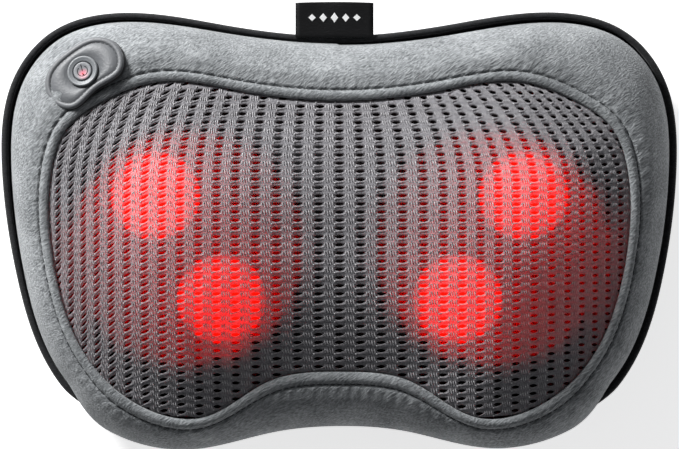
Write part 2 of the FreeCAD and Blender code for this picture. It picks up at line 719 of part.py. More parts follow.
def make_drive():
    clamp_y = "(motor_start + motor_end) / 2"
    can = cylinder("motor_radius", "motor_length", ("0", "motor_start", "motor_axis"), ALONG_Y)
    nose = cylinder("5", "2", ("0", "motor_start - 2", "motor_axis"), ALONG_Y)
    shaft_room = cylinder("shaft_radius + running_gap", "30", ("0", "motor_start - 3", "motor_axis"),
                          ALONG_Y)
    subpart("motor_can", cut(fuse(can, nose), shaft_room))
    cap = cylinder("motor_radius - 0.5", "4", ("0", "motor_end", "motor_axis"), ALONG_Y)
    tabs = [box("0.8", "5", "4", f"{x} * 8", "motor_end + 6.5", "motor_axis - 2") for x in (-1, 1)]
    subpart("motor_end_cap", group(cap, *tabs))
    rings = [tube("saddle_radius", "motor_radius", "6", ("0", f"{at} - 3", "motor_axis"), ALONG_Y)
             for at in ("motor_start + 8", "motor_end - 8")]
    subpart("motor_rings", group(*rings))
    band = tube("motor_radius + 1.5", "motor_radius", "12", ("0", f"{clamp_y} - 6", "motor_axis"), ALONG_Y)
    subpart("motor_flux_ring", band)

    shaft_length = "motor_start + 18 - (gear_line - worm_length / 2 - 10)"
    shaft = cylinder("shaft_radius", shaft_length,
                     ("0", "gear_line - worm_length / 2 - 10", "motor_axis"), ALONG_Y)
    subpart("motor_shaft", shaft)
    thread = shaped(worm_shape(size("worm_length")), ("0", "gear_line", "motor_axis"), ALONG_Y)
    bore = cylinder("shaft_radius", "worm_length + 2", ("0", "gear_line - worm_length / 2 - 1",
                                                        "motor_axis"),
                    ALONG_Y)
    subpart("worm", cut(thread, bore))
    carrier = box("16", "6", "motor_axis + 6 - floor_top", "0", "gear_line - worm_length / 2 - 5",
                  "floor_top")
    carrier_bore = cylinder("shaft_radius + running_gap", "8",
                            ("0", "gear_line - worm_length / 2 - 9", "motor_axis"), ALONG_Y)
    subpart("worm_bearing", cut(carrier, carrier_bore))

    half_tooth = math.pi / size("wheel_teeth")
    for name, side in SIDES:
        wheel = worm_wheel(half_tooth if side > 0 else 0, size("wheel_bottom"), size("gear_face"))
        pinion = spur_gear(int(size("pinion_teeth")), PLAIN_ADDENDUM, 0, size("gear_bottom"),
                           size("gear_face"))
        hub = Part.makeCylinder(size("pinion_radius") - 2, size("gear_step"), Vector(0, 0, size("gear_top")))
        pin_bore = Part.makeCylinder(size("idler_pin_radius") + size("running_gap"), 60)
        idler = wheel.fuse([pinion, hub]).removeSplitter().cut(pin_bore)
        subpart(f"idler_gear_{name}", shaped(idler, (f"{side} * idler_x", "gear_line", "0")))


# ---------------------------------------------------------------- massage heads

def node_places(side):
    """Return the upper and the lower node's places about a head axis, in the base plane."""
    lean = math.radians(size("head_lean"))
    upper = Vector(side * size("node_orbit") * math.sin(lean), size("node_orbit") * math.cos(lean), 0)
    return {"upper": upper, "lower": -upper}


def at_head(shape, side, level="0", offset=Vector()):
    return shaped(shape, (f"{side} * head_x + ({offset.x})", f"gear_line + ({offset.y})", level))


def moved(shape, by):
    copy = shape.copy()
    copy.translate(by)
    return copy


def node_cap(height):
    """Return a kneading node: a hollow dome with a central boss bored for its post."""
    wall = size("node_wall")
    shell = dome(size("node_radius"), size("node_rim"), height)
    hollow = dome(size("node_radius") - wall, size("node_rim"), height - wall)
    boss = Part.makeCylinder(size("post_radius") + 3, height - wall - 5, Vector(0, 0, 6))
    bore = Part.makeCylinder(size("post_radius") + size("running_gap"), height - 16, Vector(0, 0, 5))
    return shell.cut(hollow).fuse(boss.common(shell)).removeSplitter().cut(bore)


def make_head(name, side):
    nodes = node_places(side)
    arm_thickness = size("arm_thickness")
    spindle_bottom = "floor_top + 0.5"
    spindle = cut(cylinder("spindle_radius", f"arm_top - ({spindle_bottom})",
                           (f"{side} * head_x", "gear_line", spindle_bottom)),
                  cylinder("1.5", "12", (f"{side} * head_x", "gear_line", "arm_top - 10")))
    subpart(f"spindle_{name}", spindle)

    turn = math.pi / size("drive_teeth")
    gear = spur_gear(int(size("drive_teeth")), DRIVE_ADDENDUM, turn, size("gear_bottom"), size("gear_face"))
    web_inner = Part.makeCylinder(size("bush_radius") + 3, 3, Vector(0, 0, size("gear_top") - 3))
    web_outer = Part.makeCylinder(size("drive_radius") - 6, 3, Vector(0, 0, size("gear_top") - 3))
    bore = Part.makeCylinder(size("spindle_radius"), 60)
    subpart(f"drive_gear_{name}", at_head(gear.cut(web_outer.cut(web_inner)).cut(bore), side))

    hub = Part.makeCylinder(size("arm_end_radius"), arm_thickness)
    arm = hub
    for at in nodes.values():
        arm = arm.fuse(moved(Part.makeCylinder(size("arm_end_radius"), arm_thickness), at))
    bar = Part.makeBox(2 * size("arm_end_radius") - 8, 2 * size("node_orbit"), arm_thickness,
                       Vector(4 - size("arm_end_radius"), -size("node_orbit"), 0))
    bar.rotate(Vector(), Vector(0, 0, 1), -side * size("head_lean"))
    arm = arm.fuse(bar).removeSplitter()
    for at in nodes.values():
        arm = arm.cut(moved(Part.makeCylinder(size("post_radius"), arm_thickness), at))
    arm = arm.cut(Part.makeCylinder(size("spindle_radius"), arm_thickness))
    subpart(f"massage_arm_{name}", at_head(arm, side, "arm_bottom"))
    subpart(f"arm_screw_{name}", at_head(screw(1.5, 9), side, "arm_top"))

    ring = tube("17", "spindle_radius", "2", (f"{side} * head_x", "gear_line", "ring_under"))
    subpart(f"slip_ring_{name}", ring)

    posts = Part.makeCompound([moved(Part.makeCylinder(size("post_radius"), arm_thickness + 20), at)
                               for at in nodes.values()])
    subpart(f"node_posts_{name}", at_head(posts, side, "arm_bottom"))
    board = Part.makeCylinder(size("lamp_board_radius"), size("board_thickness"))
    board = board.cut(Part.makeCylinder(size("post_radius"), 5))
    boards = Part.makeCompound([moved(board, at) for at in nodes.values()])
    subpart(f"lamp_boards_{name}", at_head(boards, side, "arm_top"))
    lamps = []
    for at in nodes.values():
        for third in range(3):
            lamp = dome(2.2, 1.5, 3.5)
            lamps.append(moved(lamp, at + polar(9.8, 2 * math.pi * third / 3)))
    subpart(f"lamps_{name}", at_head(Part.makeCompound(lamps), side, "arm_top + board_thickness"))

    heights = {"upper": size("node_height"), "lower": size("node_height") - size("node_drop")}
    for level, at in nodes.items():
        subpart(f"node_{name}_{level}", at_head(node_cap(heights[level]), side, "node_bottom", at))


def make_brushes():
    blocks = [box("8", "6", "ring_under - layer_gap - front_top", f"{side} * head_x", "gear_line - 14",
                  "front_top")
              for _, side in SIDES]
    subpart("brush_blocks", group(*blocks))


# ---------------------------------------------------------------- controls and power

def make_controls():
    thickness = size("control_thickness")
    gap = size("button_gap")
    button_hole = Part.makeCylinder(size("button_radius") + gap, 40, Vector(0, 0, -20))
    pad = prism(control_outline(0), thickness).cut(button_hole)
    subpart("control_pad", on_control(pad))
    bezel = Part.makeCylinder(size("bezel_radius"), size("bezel_height"), Vector(0, 0, thickness))
    bezel = bezel.makeFillet(0.6, [bezel.Edges[0]]).cut(button_hole)
    subpart("button_bezel", on_control(bezel))

    depth = size("switch_case_depth")
    case = Part.makeCylinder(size("switch_case_radius"), depth, Vector(0, 0, -depth))
    hollow = Part.makeCylinder(size("switch_case_radius") - 1.5, depth - 3, Vector(0, 0, 1.5 - depth))
    subpart("switch_case", on_control(case.cut(hollow).cut(button_hole)))
    board_top = 3.1 - depth
    board = Part.makeCylinder(size("switch_case_radius") - 1.6, size("board_thickness"),
                              Vector(0, 0, board_top - size("board_thickness")))
    subpart("switch_board", on_control(board))

    flange_under = -3.0
    travel = size("button_travel")
    key = Part.makeBox(6, 6, 3.6, Vector(-3, -3, board_top))
    plunger_height = flange_under - travel - 0.05 - (board_top + 3.6)
    plunger = Part.makeCylinder(1.7, plunger_height, Vector(0, 0, board_top + 3.6))
    subpart("tact_switch", on_control(key.fuse(plunger)))
    lamp = Part.makeCylinder(1.5, 5, Vector(0, -6, board_top))
    subpart("indicator_lamp", on_control(lamp))

    button = Part.makeCylinder(size("button_radius"), thickness + 1.3 - flange_under, Vector(0, 0,
                                                                                             flange_under))
    button = button.makeFillet(0.5, [button.Edges[0]])
    flange = Part.makeCylinder(size("button_radius") + 1.4, 1.2, Vector(0, 0, flange_under))
    subpart("power_button", on_control(button.fuse(flange)))

    board_y = "gear_line - board_drop"
    board = box("board_length", "board_width", "board_thickness", "0", board_y, "floor_top + board_stand")
    holes = [cylinder("1", "board_stand + board_thickness", (*at, "floor_top + 2")) for at in board_places()]
    subpart("control_board", cut(board, *holes))
    top = "floor_top + board_stand + board_thickness"
    parts = [
        box("8", "6", "1.6", "-12", board_y, top), box("6", "5", "1.5", "1", board_y, top),
        cylinder("3", "8", ("12", board_y, top)), box("5", "7", "5", "20", board_y, top),
        box("6", "8", "5", "-20", board_y, top),
    ]
    subpart("board_components", group(*parts))


def make_inlet():
    flange = jack_bore("jack_flange_radius", "-1.2", "2")
    barrel = jack_bore("jack_radius", "0.8", "jack_length")
    socket = jack_bore("socket_radius", "-2", "socket_depth + 0.8")
    root_hole = jack_bore("socket_pin_radius - 0.3", "-1.2", "socket_depth + 4")
    subpart("power_inlet", cut(fuse(flange, barrel), socket, root_hole))
    contact = jack_bore("socket_pin_radius", "socket_depth - socket_pin_length - 1.2", "socket_pin_length")
    root = jack_bore("socket_pin_radius - 0.3", "socket_depth - 2", "4.8")
    subpart("inlet_pin", fuse(contact, root))
    nut = jack_bore("jack_flange_radius + 1.5", "9", "3")
    subpart("inlet_nut", cut(nut, jack_bore("jack_radius", "6", "9")))


def make_zip():
    row_offset = "(zip_row_gap + zip_row_width) / 2"
    tape_offset = "zip_row_gap / 2 + zip_row_width + tape_width / 2"
    tapes = [box("zip_length", "tape_width", "0.8", "0", f"zip_line + {side} * ({tape_offset})", "0.9")
             for _, side in SIDES]
    subpart("zip_tapes", group(*tapes))
    rows = [box("zip_length", "zip_row_width", "1.6", "0", f"zip_line + {side} * {row_offset}", "1.1")
            for _, side in SIDES]
    subpart("zip_teeth", group(*rows))
    slider_x = "zip_length / 2 - 6"
    under = box("9", "8", "0.6", slider_x, "zip_line", "0.2")
    over = box("9", "8", "0.7", slider_x, "zip_line", "3.0")
    neck = box("9", "zip_row_gap - 0.6", "3.2", slider_x, "zip_line", "0.3")
    subpart("zip_slider", fuse(under, over, neck))


fill_sheet()
make_cover()
make_foam()
make_case()
make_drive()
for head_name, head_side in SIDES:
    make_head(head_name, head_side)
make_brushes()
make_controls()
make_inlet()
make_zip()
doc.recompute()

for item in doc.Objects:
    if "Invalid" in item.State or "Error" in item.State:
        raise RuntimeError(f"{item.Name} ({item.Label}) did not recompute: {item.State}")
for item in subparts:
    if item.Shape.isNull() or not item.Shape.isValid() or not item.Shape.Solids:
        raise RuntimeError(f"{item.Label} has no valid solid: {item.Shape.ShapeType}")

os.makedirs("parts", exist_ok=True)
for item in subparts:
    item.Shape.exportStep(f"parts/{item.Label}.step")
    print(f"{item.Label}: {len(item.Shape.Solids)} solid(s), {item.Shape.Volume / 1000:.2f} cm3")
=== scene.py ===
"""Shiatsu neck massager: how a two-lobed massage pillow looks.

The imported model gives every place. This script sews the cover over it: the brushed plush border, the
knitted spacer mesh of the massage face, the piped black back, the label and the button pad. It
dresses the mechanism inside, and lights the kneading nodes.
"""
import json
import logging
import math
from dataclasses import dataclass, field
from enum import Enum

import bmesh
import bpy
import numpy as np
from mathutils import Matrix, Vector
from mathutils.kdtree import KDTree


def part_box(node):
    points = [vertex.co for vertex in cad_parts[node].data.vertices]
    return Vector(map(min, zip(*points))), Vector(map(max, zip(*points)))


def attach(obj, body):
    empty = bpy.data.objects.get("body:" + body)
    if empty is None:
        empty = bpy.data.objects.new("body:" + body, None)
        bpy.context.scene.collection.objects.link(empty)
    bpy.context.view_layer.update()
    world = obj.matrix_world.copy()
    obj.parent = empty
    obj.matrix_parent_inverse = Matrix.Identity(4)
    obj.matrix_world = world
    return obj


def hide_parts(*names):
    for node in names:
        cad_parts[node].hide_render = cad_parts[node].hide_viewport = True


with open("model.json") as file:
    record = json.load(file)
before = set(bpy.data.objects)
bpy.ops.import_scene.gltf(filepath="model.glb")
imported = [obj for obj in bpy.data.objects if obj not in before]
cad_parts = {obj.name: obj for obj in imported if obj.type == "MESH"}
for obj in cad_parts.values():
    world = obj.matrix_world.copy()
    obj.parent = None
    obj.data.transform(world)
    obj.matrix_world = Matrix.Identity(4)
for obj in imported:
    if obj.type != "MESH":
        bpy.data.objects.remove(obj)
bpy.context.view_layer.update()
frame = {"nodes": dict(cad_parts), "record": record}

LOG = logging.getLogger("massager")


class Side(Enum):
    """The two massage heads, by the sign of their place across the pillow."""

    LEFT = -1
    RIGHT = 1


# ------------------------------------------------------------------ small tools


def linear(code: str, alpha: float = 1.0) -> tuple[float, float, float, float]:
    """Turn an sRGB hex colour into a linear one.

    Args:
        code: The colour as "#rrggbb".
        alpha: The opacity.

    Returns:
        Red, green, blue and alpha.
    """
    parts = [int(code[i : i + 2], 16) / 255 for i in (1, 3, 5)]
    red, green, blue = [c / 12.92 if c <= 0.04045 else ((c + 0.055) / 1.055) ** 2.4 for c in parts]
    return red, green, blue, alpha


def add_node(tree: bpy.types.NodeTree, kind: str, values: dict | None = None, links: dict | None = None,
             **settings: object) -> bpy.types.Node:
    """Add a node with its settings, its input values and its links.

    Args:
        tree: The tree that gets the node.
        kind: The node's type name.
        values: Input values by input name or number.
        links: Sockets to link from, by input name or number.
        **settings: Attributes of the node.

    Returns:
        The node.
    """
    node = tree.nodes.new(kind)
    for name, value in settings.items():
        setattr(node, name, value)
    for key, value in (values or {}).items():
        node.inputs[key].default_value = value
    for key, source in (links or {}).items():
        tree.links.new(source, node.inputs[key])
    return node


def smooth_step(low: float, high: float, value: np.ndarray) -> np.ndarray:
    """Rise smoothly from 0 at low to 1 at high."""
    share = np.clip((value - low) / (high - low), 0, 1)
    return share * share * (3 - 2 * share)


def mesh_object(name: str, points: np.ndarray, faces: list | np.ndarray,
                smooth: bool = True) -> bpy.types.Object:
    """Make an object of points and faces, at the origin.

    Args:
        name: The object's name.
        points: One row of x, y, z for each point, in metres.
        faces: The corner numbers of each face.
        smooth: Whether the faces are shaded smooth.

    Returns:
        The object.
    """
    mesh = bpy.data.meshes.new(name)
    mesh.from_pydata(np.asarray(points).reshape(-1, 3).tolist(), [], [list(map(int, f)) for f in faces])
    mesh.validate()
    if smooth:
        mesh.shade_smooth()
    piece = bpy.data.objects.new(name, mesh)
    bpy.context.scene.collection.objects.link(piece)
    return piece


def ring_faces(rows: int, columns: int, close_rows: bool = False) -> list[tuple[int, int, int, int]]:
    """Return the faces of a grid whose columns close on themselves.

    Args:
        rows: How many rows of points there are.
        columns: How many points each row has.
        close_rows: Whether the last row joins the first.

    Returns:
        Four corner numbers for each face.
    """
    faces = []
    for row in range(rows if close_rows else rows - 1):
        below, above = row * columns, ((row + 1) % rows) * columns
        for column in range(columns):
            beside = (column + 1) % columns
            faces.append((below + column, above + column, above + beside, below + beside))
    return faces


def turn_outwards(piece: bpy.types.Object) -> None:
    """Merge doubled points and make the faces point outwards.

    Args:
        piece: The piece.
    """
    work = bmesh.new()
    work.from_mesh(piece.data)
    bmesh.ops.remove_doubles(work, verts=work.verts, dist=1e-6)
    bmesh.ops.recalc_face_normals(work, faces=work.faces)
    work.to_mesh(piece.data)
    work.free()


def plain_mesh(piece: bpy.types.Object) -> bpy.types.Object:
    """Turn what a piece's modifiers make into its plain mesh, and remove the modifiers.

    Args:
        piece: The piece.

    Returns:
        The piece.
    """
    evaluated = piece.evaluated_get(bpy.context.evaluated_depsgraph_get())
    mesh = bpy.data.meshes.new_from_object(evaluated)
    mesh.name = piece.name
    if piece.type != "MESH":
        made = bpy.data.objects.new(piece.name + "_made", mesh)
        bpy.context.scene.collection.objects.link(made)
        name = piece.name
        bpy.data.objects.remove(piece)
        made.name = name
        return made
    piece.modifiers.clear()
    piece.data = mesh
    return piece


def tube(path: np.ndarray, radius: float, sides: int, closed: bool) -> tuple[np.ndarray, list]:
    """Return the points and faces of a round tube along a path that lies near a level plane.

    Args:
        path: The points that it follows.
        radius: Its radius.
        sides: How many points go round it.
        closed: Whether the path closes on itself.

    Returns:
        The points and the faces.
    """
    ahead = np.roll(path, -1, axis=0)
    behind = np.roll(path, 1, axis=0)
    if not closed:
        ahead[-1], behind[0] = path[-1], path[0]
    along = ahead - behind
    along /= np.linalg.norm(along, axis=1)[:, None]
    across = np.cross(along, (0, 0, 1))
    across /= np.linalg.norm(across, axis=1)[:, None]
    upwards = np.cross(across, along)
    angles = np.linspace(0, 2 * math.pi, sides, endpoint=False)
    points = [path + radius * (math.cos(a) * across + math.sin(a) * upwards) for a in angles]
    grid = np.stack(points, axis=1)
    rows = len(path)
    faces = [tuple(reversed(face)) for face in ring_faces(rows, sides, closed)]
    if not closed:
        faces.append(tuple(range(sides)))
        faces.append(tuple((rows - 1) * sides + side for side in reversed(range(sides))))
    return grid.reshape(-1, 3), faces


def dress(piece: bpy.types.Object, material: bpy.types.Material, body: str) -> bpy.types.Object:
    """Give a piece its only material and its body.

    Args:
        piece: The piece.
        material: Its finish.
        body: The body that it moves with.

    Returns:
        The piece.
    """
    piece.data.materials.clear()
    piece.data.materials.append(material)
    for polygon in piece.data.polygons:
        polygon.material_index = 0
    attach(piece, body)
    return piece


# ------------------------------------------------------------------ the pillow's form


def closed_curve(knots: np.ndarray, per_span: int) -> np.ndarray:
    """Return points along the smooth closed curve through some points.

    Args:
        knots: The points, in order, without the first one repeated.
        per_span: How many points each span between two knots gets.

    Returns:
        The points, as many rows as knots times per_span.
    """
    count = len(knots)
    after = np.linalg.norm(np.roll(knots, -1, axis=0) - knots, axis=1)
    before = np.roll(after, 1)
    system = np.zeros((count, count))
    pull = np.zeros_like(knots)
    for i in range(count):
        j, k = (i - 1) % count, (i + 1) % count
        system[i, j] += after[i]
        system[i, i] += 2 * (before[i] + after[i])
        system[i, k] += before[i]
        pull[i] = 3 * (
            after[i] * (knots[i] - knots[j]) / before[i] + before[i] * (knots[k] - knots[i]) / after[i]
        )
    slopes = np.linalg.solve(system, pull)
    share = np.arange(per_span)[:, None] / per_span
    spans = []
    for i in range(count):
        k = (i + 1) % count
        h00, h10 = 2 * share**3 - 3 * share**2 + 1, share**3 - 2 * share**2 + share
        h01, h11 = -2 * share**3 + 3 * share**2, share**3 - share**2
        spans.append(
            h00 * knots[i] + h10 * after[i] * slopes[i] + h01 * knots[k] + h11 * after[i] * slopes[k]
        )
    return np.concatenate(spans)


def outward(points: np.ndarray) -> np.ndarray:
    """Return the level outward directions along a clockwise closed outline."""
    along = np.roll(points, -1, axis=0) - np.roll(points, 1, axis=0)
    turned = np.stack([-along[:, 1], along[:, 0]], axis=1)
    return turned / np.linalg.norm(turned, axis=1)[:, None]


def run_along(points: np.ndarray) -> np.ndarray:
    """Return how far along an outline each of its points is."""
    return np.concatenate(([0], np.cumsum(np.linalg.norm(np.diff(points, axis=0), axis=1))))


@dataclass
class PillowForm:
    """The shape of the sewn pillow: its two outlines, its levels and the crown of its face.

    The outlines are given for the right half, as shares of the half width and half height, from the
    label edge round the lobe to the lower middle.
    """

    half_width: float = 0.1688
    half_height: float = 0.1085
    seam_level: float = 0.045
    border_foot: float = 0.047
    edge_level: float = 0.082
    crown_rise: float = 0.015
    crown_reach: float = 0.060
    mound_rise: float = 0.010
    mound_radius: float = 0.045
    per_span: int = 36
    cover_shares: tuple = ((0.000, 0.869), (0.331, 0.920), (0.616, 0.977), (0.850, 0.888), (0.966, 0.666),
                           (1.000, 0.276), (0.960, -0.219), (0.838, -0.717), (0.677, -0.938),
                           (0.444, -1.023), (0.190, -0.946), (0.000, -0.924))
    face_shares: tuple = ((0.000, 0.567), (0.296, 0.613), (0.521, 0.654), (0.699, 0.558), (0.797, 0.442),
                          (0.844, 0.249), (0.838, -0.166), (0.738, -0.608), (0.581, -0.829),
                          (0.397, -0.880), (0.207, -0.717), (0.000, -0.673))
    heads: list = field(default_factory=list)

    def __post_init__(self) -> None:
        """Work out both outlines and where the massage heads are."""
        self.cover = closed_curve(self.mirrored(self.cover_shares), self.per_span)
        self.face = closed_curve(self.mirrored(self.face_shares), self.per_span)
        self.count = len(self.cover)
        for side in Side:
            low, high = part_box(f"spindle_{side.name.lower()}")
            self.heads.append(((low.x + high.x) / 2, (low.y + high.y) / 2))

    def mirrored(self, half: tuple) -> np.ndarray:
        """Return the whole outline's knots from its right half's."""
        right = np.array(half) * (self.half_width, self.half_height)
        left = right[-2:0:-1] * (-1, 1)
        return np.concatenate([right, left])

    def inside(self, x: np.ndarray, y: np.ndarray) -> tuple[np.ndarray, np.ndarray]:
        """Tell how far points are from the face's edge, and whether they are inside it.

        Args:
            x: The points' places across the pillow.
            y: The points' places up the pillow.

        Returns:
            The distances, and a mask of the points inside.
        """
        edge = self.face[::3]
        following = np.roll(edge, -1, axis=0)
        distance = np.full(x.shape, 1.0)
        within = np.zeros(x.shape, bool)
        for (ax, ay), (bx, by) in zip(edge, following):
            dx, dy = bx - ax, by - ay
            share = np.clip(((x - ax) * dx + (y - ay) * dy) / (dx * dx + dy * dy), 0, 1)
            distance = np.minimum(distance, np.hypot(x - ax - share * dx, y - ay - share * dy))
            if dy:
                crossing = ((ay > y) != (by > y)) & (x < ax + (y - ay) * dx / dy)
                within ^= crossing
        return distance, within

    def height(self, x: np.ndarray, y: np.ndarray) -> np.ndarray:
        """Return the level of the crowned face over points of the pillow."""
        distance, within = self.inside(x, y)
        crown = self.crown_rise * np.sin(math.pi / 2 * np.clip(distance / self.crown_reach, 0, 1))
        mounds = sum(np.exp(-(((x - hx) ** 2 + (y - hy) ** 2) / self.mound_radius**2)) for hx,
                     hy in self.heads)
        level = self.edge_level + crown + self.mound_rise * mounds * np.clip(distance / 0.02, 0, 1)
        return np.where(within, level, self.edge_level - 0.35 * distance)

    def band_share(self, y: np.ndarray) -> np.ndarray:
        """Tell how much of the dark seam band shows: all of it, but none under the lower lobes."""
        return smooth_step(-0.102, -0.080, y)


# ------------------------------------------------------------------ finishes


def new_material(name: str) -> tuple[bpy.types.Material, bpy.types.NodeTree, bpy.types.Node,
                                     bpy.types.NodeSocket]:
    """Make a material with one Principled shader.

    Args:
        name: The material's name.

    Returns:
        The material, its tree, the shader and the Object coordinates.
    """
    material = bpy.data.materials.new(name)
    material.use_nodes = True
    tree = material.node_tree
    tree.nodes.clear()
    shader = tree.nodes.new("ShaderNodeBsdfPrincipled")
    output = tree.nodes.new("ShaderNodeOutputMaterial")
    tree.links.new(shader.outputs[0], output.inputs["Surface"])
    coordinates = tree.nodes.new("ShaderNodeTexCoord")
    return material, tree, shader, coordinates.outputs["Object"]


def set_surface(tree: bpy.types.NodeTree, surface: bpy.types.NodeSocket) -> None:
    """Link another surface than the Principled shader's to a material's output."""
    output = next(node for node in tree.nodes if node.type == "OUTPUT_MATERIAL")
    tree.links.new(surface, output.inputs["Surface"])


def set_shader(shader: bpy.types.Node, colour: str, **values: float) -> None:
    """Set constants on a Principled shader's own sockets.

    Args:
        shader: The shader.
        colour: The base colour as "#rrggbb".
        **values: Values by their short names.
    """
    names = {"roughness": "Roughness", "metallic": "Metallic", "sheen": "Sheen Weight", "ior": "IOR",
             "sheen_roughness": "Sheen Roughness", "coat": "Coat Weight", "specular": "Specular IOR Level",
             "anisotropic": "Anisotropic", "transmission": "Transmission Weight"}
    shader.inputs["Base Color"].default_value = linear(colour)
    for key, value in values.items():
        shader.inputs[names[key]].default_value = value


def ramp(
    tree: bpy.types.NodeTree, source: bpy.types.NodeSocket, stops: list[tuple[float, str]]
) -> bpy.types.NodeSocket:
    """Turn a value into a colour through a row of stops.

    Args:
        tree: The material's tree.
        source: The value.
        stops: Each stop's place and sRGB colour.

    Returns:
        The colour.
    """
    node = add_node(tree, "ShaderNodeValToRGB", links={"Fac": source})
    for index, (place, code) in enumerate(stops):
        stop = node.color_ramp.elements[index] if index < 2 else node.color_ramp.elements.new(place)
        stop.position, stop.color = place, linear(code)
    return node.outputs["Color"]


def bump(tree: bpy.types.NodeTree, shader: bpy.types.Node, height: bpy.types.NodeSocket, depth: float,
         strength: float = 1.0) -> None:
    """Give a shader a bump of a real depth in metres."""
    node = add_node(tree, "ShaderNodeBump", {"Strength": strength, "Distance": depth}, {"Height": height})
    tree.links.new(node.outputs["Normal"], shader.inputs["Normal"])


@dataclass(frozen=True)
class BrushedPlush:
    """Polyester micro-plush, knitted and brushed: short grey pile that lies over in small strokes."""

    stroke_length_mm: float = 2.6
    stroke_width_mm: float = 0.75
    lean_deg: float = 38.0

    def build(self) -> bpy.types.Material:
        """Make the material. The strokes of the nap read as brushed pile, and the sheen softens its edges.

        Returns:
            The material.
        """
        material, tree, shader, place = new_material("micro_plush_brushed")
        set_shader(shader, "#8E9193", roughness=0.95, sheen=0.12, sheen_roughness=0.55, specular=0.15)
        swirl = add_node(tree, "ShaderNodeTexNoise", {"Scale": 16.0, "Detail": 2.0}, {"Vector": place})
        centred = add_node(tree, "ShaderNodeVectorMath", {1: (0.5, 0.5, 0.5)}, {0: swirl.outputs["Color"]},
                           operation="SUBTRACT")
        drift = add_node(tree, "ShaderNodeVectorMath", {"Scale": 0.016}, {0: centred.outputs[0]},
                         operation="SCALE")
        moved = add_node(tree, "ShaderNodeVectorMath", links={0: place, 1: drift.outputs[0]},
                         operation="ADD")
        turned = add_node(tree, "ShaderNodeMapping", {"Rotation": (0, 0, math.radians(-self.lean_deg))},
                          {"Vector": moved.outputs[0]})
        strokes = add_node(tree, "ShaderNodeMapping",
                           {"Scale": (1000 / self.stroke_length_mm, 1000 / self.stroke_width_mm, 900)},
                           {"Vector": turned.outputs[0]})
        nap = add_node(tree, "ShaderNodeTexNoise", {"Scale": 1.0, "Detail": 2.0, "Roughness": 0.55},
                       {"Vector": strokes.outputs[0]})
        patches = add_node(tree, "ShaderNodeTexNoise", {"Scale": 55.0, "Detail": 3.0}, {"Vector": place})
        tone = add_node(tree, "ShaderNodeMix", {"Factor": 0.3},
                        {"A": nap.outputs["Fac"], "B": patches.outputs["Fac"]}, data_type="FLOAT")
        colour = ramp(
            tree, tone.outputs["Result"],
            [(0.30, "#505355"), (0.72, "#AAADAF"), (0.46, "#797C7E"), (0.56, "#8E9193")]
        )
        tree.links.new(colour, shader.inputs["Base Color"])
        bump(tree, shader, nap.outputs["Fac"], 0.0012, 0.6)
        return material


@dataclass(frozen=True)
class MeshKnit:
    """Polyester spacer mesh, warp-knitted: matte grey ground, thin enough to let the node lamps through."""

    name: str
    ground: str
    bright: str
    clear: float
    sheen: float = 0.2
    roughness: float = 0.6
    grain_mm: float = 0.9
    through: float = 0.25

    def build(self) -> bpy.types.Material:
        """Make the material. The stipple reads as yarn, and the clear share lets the red light through.

        Returns:
            The material.
        """
        material, tree, shader, place = new_material(self.name)
        set_shader(shader, self.ground, roughness=self.roughness, sheen=self.sheen, specular=0.4)
        yarn = add_node(tree, "ShaderNodeTexNoise", {"Scale": 1000 / self.grain_mm, "Detail": 2.0},
                        {"Vector": place})
        colour = ramp(tree, yarn.outputs["Fac"], [(0.35, self.ground), (0.65, self.bright)])
        tree.links.new(colour, shader.inputs["Base Color"])
        bump(tree, shader, yarn.outputs["Fac"], 0.0004, 0.5)
        gaps = add_node(tree, "ShaderNodeBsdfTransparent")
        glow = add_node(tree, "ShaderNodeBsdfTranslucent", {"Color": linear("#E0D4D4")})
        yarns = add_node(
            tree, "ShaderNodeMixShader", {"Fac": self.through}, {1: shader.outputs[0], 2: glow.outputs[0]}
        )
        blend = add_node(
            tree, "ShaderNodeMixShader", {"Fac": self.clear}, {1: yarns.outputs[0], 2: gaps.outputs[0]}
        )
        set_surface(tree, blend.outputs[0])
        return material


@dataclass(frozen=True)
class LiningVeil:
    """Black nylon voile under the mesh: it hides the foam, and spreads the light of the nodes."""

    clear: float = 0.68
    light_share: float = 0.68

    def build(self) -> bpy.types.Material:
        """Make the material. It stays near black, and glows red only where a lit node is behind it.

        Returns:
            The material.
        """
        material, tree, shader, place = new_material("nylon_voile_black")
        set_shader(shader, "#0A0A0B", roughness=0.8, specular=0.1)
        thread = add_node(tree, "ShaderNodeTexNoise", {"Scale": 1500.0}, {"Vector": place})
        bump(tree, shader, thread.outputs["Fac"], 0.0002)
        through = add_node(tree, "ShaderNodeBsdfTranslucent", {"Color": linear("#B8403A")})
        gaps = add_node(tree, "ShaderNodeBsdfTransparent")
        light = add_node(
            tree, "ShaderNodeMixShader", {"Fac": self.clear}, {1: through.outputs[0], 2: gaps.outputs[0]}
        )
        blend = add_node(
            tree, "ShaderNodeMixShader", {"Fac": self.light_share}, {1: shader.outputs[0], 2: light.outputs[0]}
        )
        set_surface(tree, blend.outputs[0])
        return material


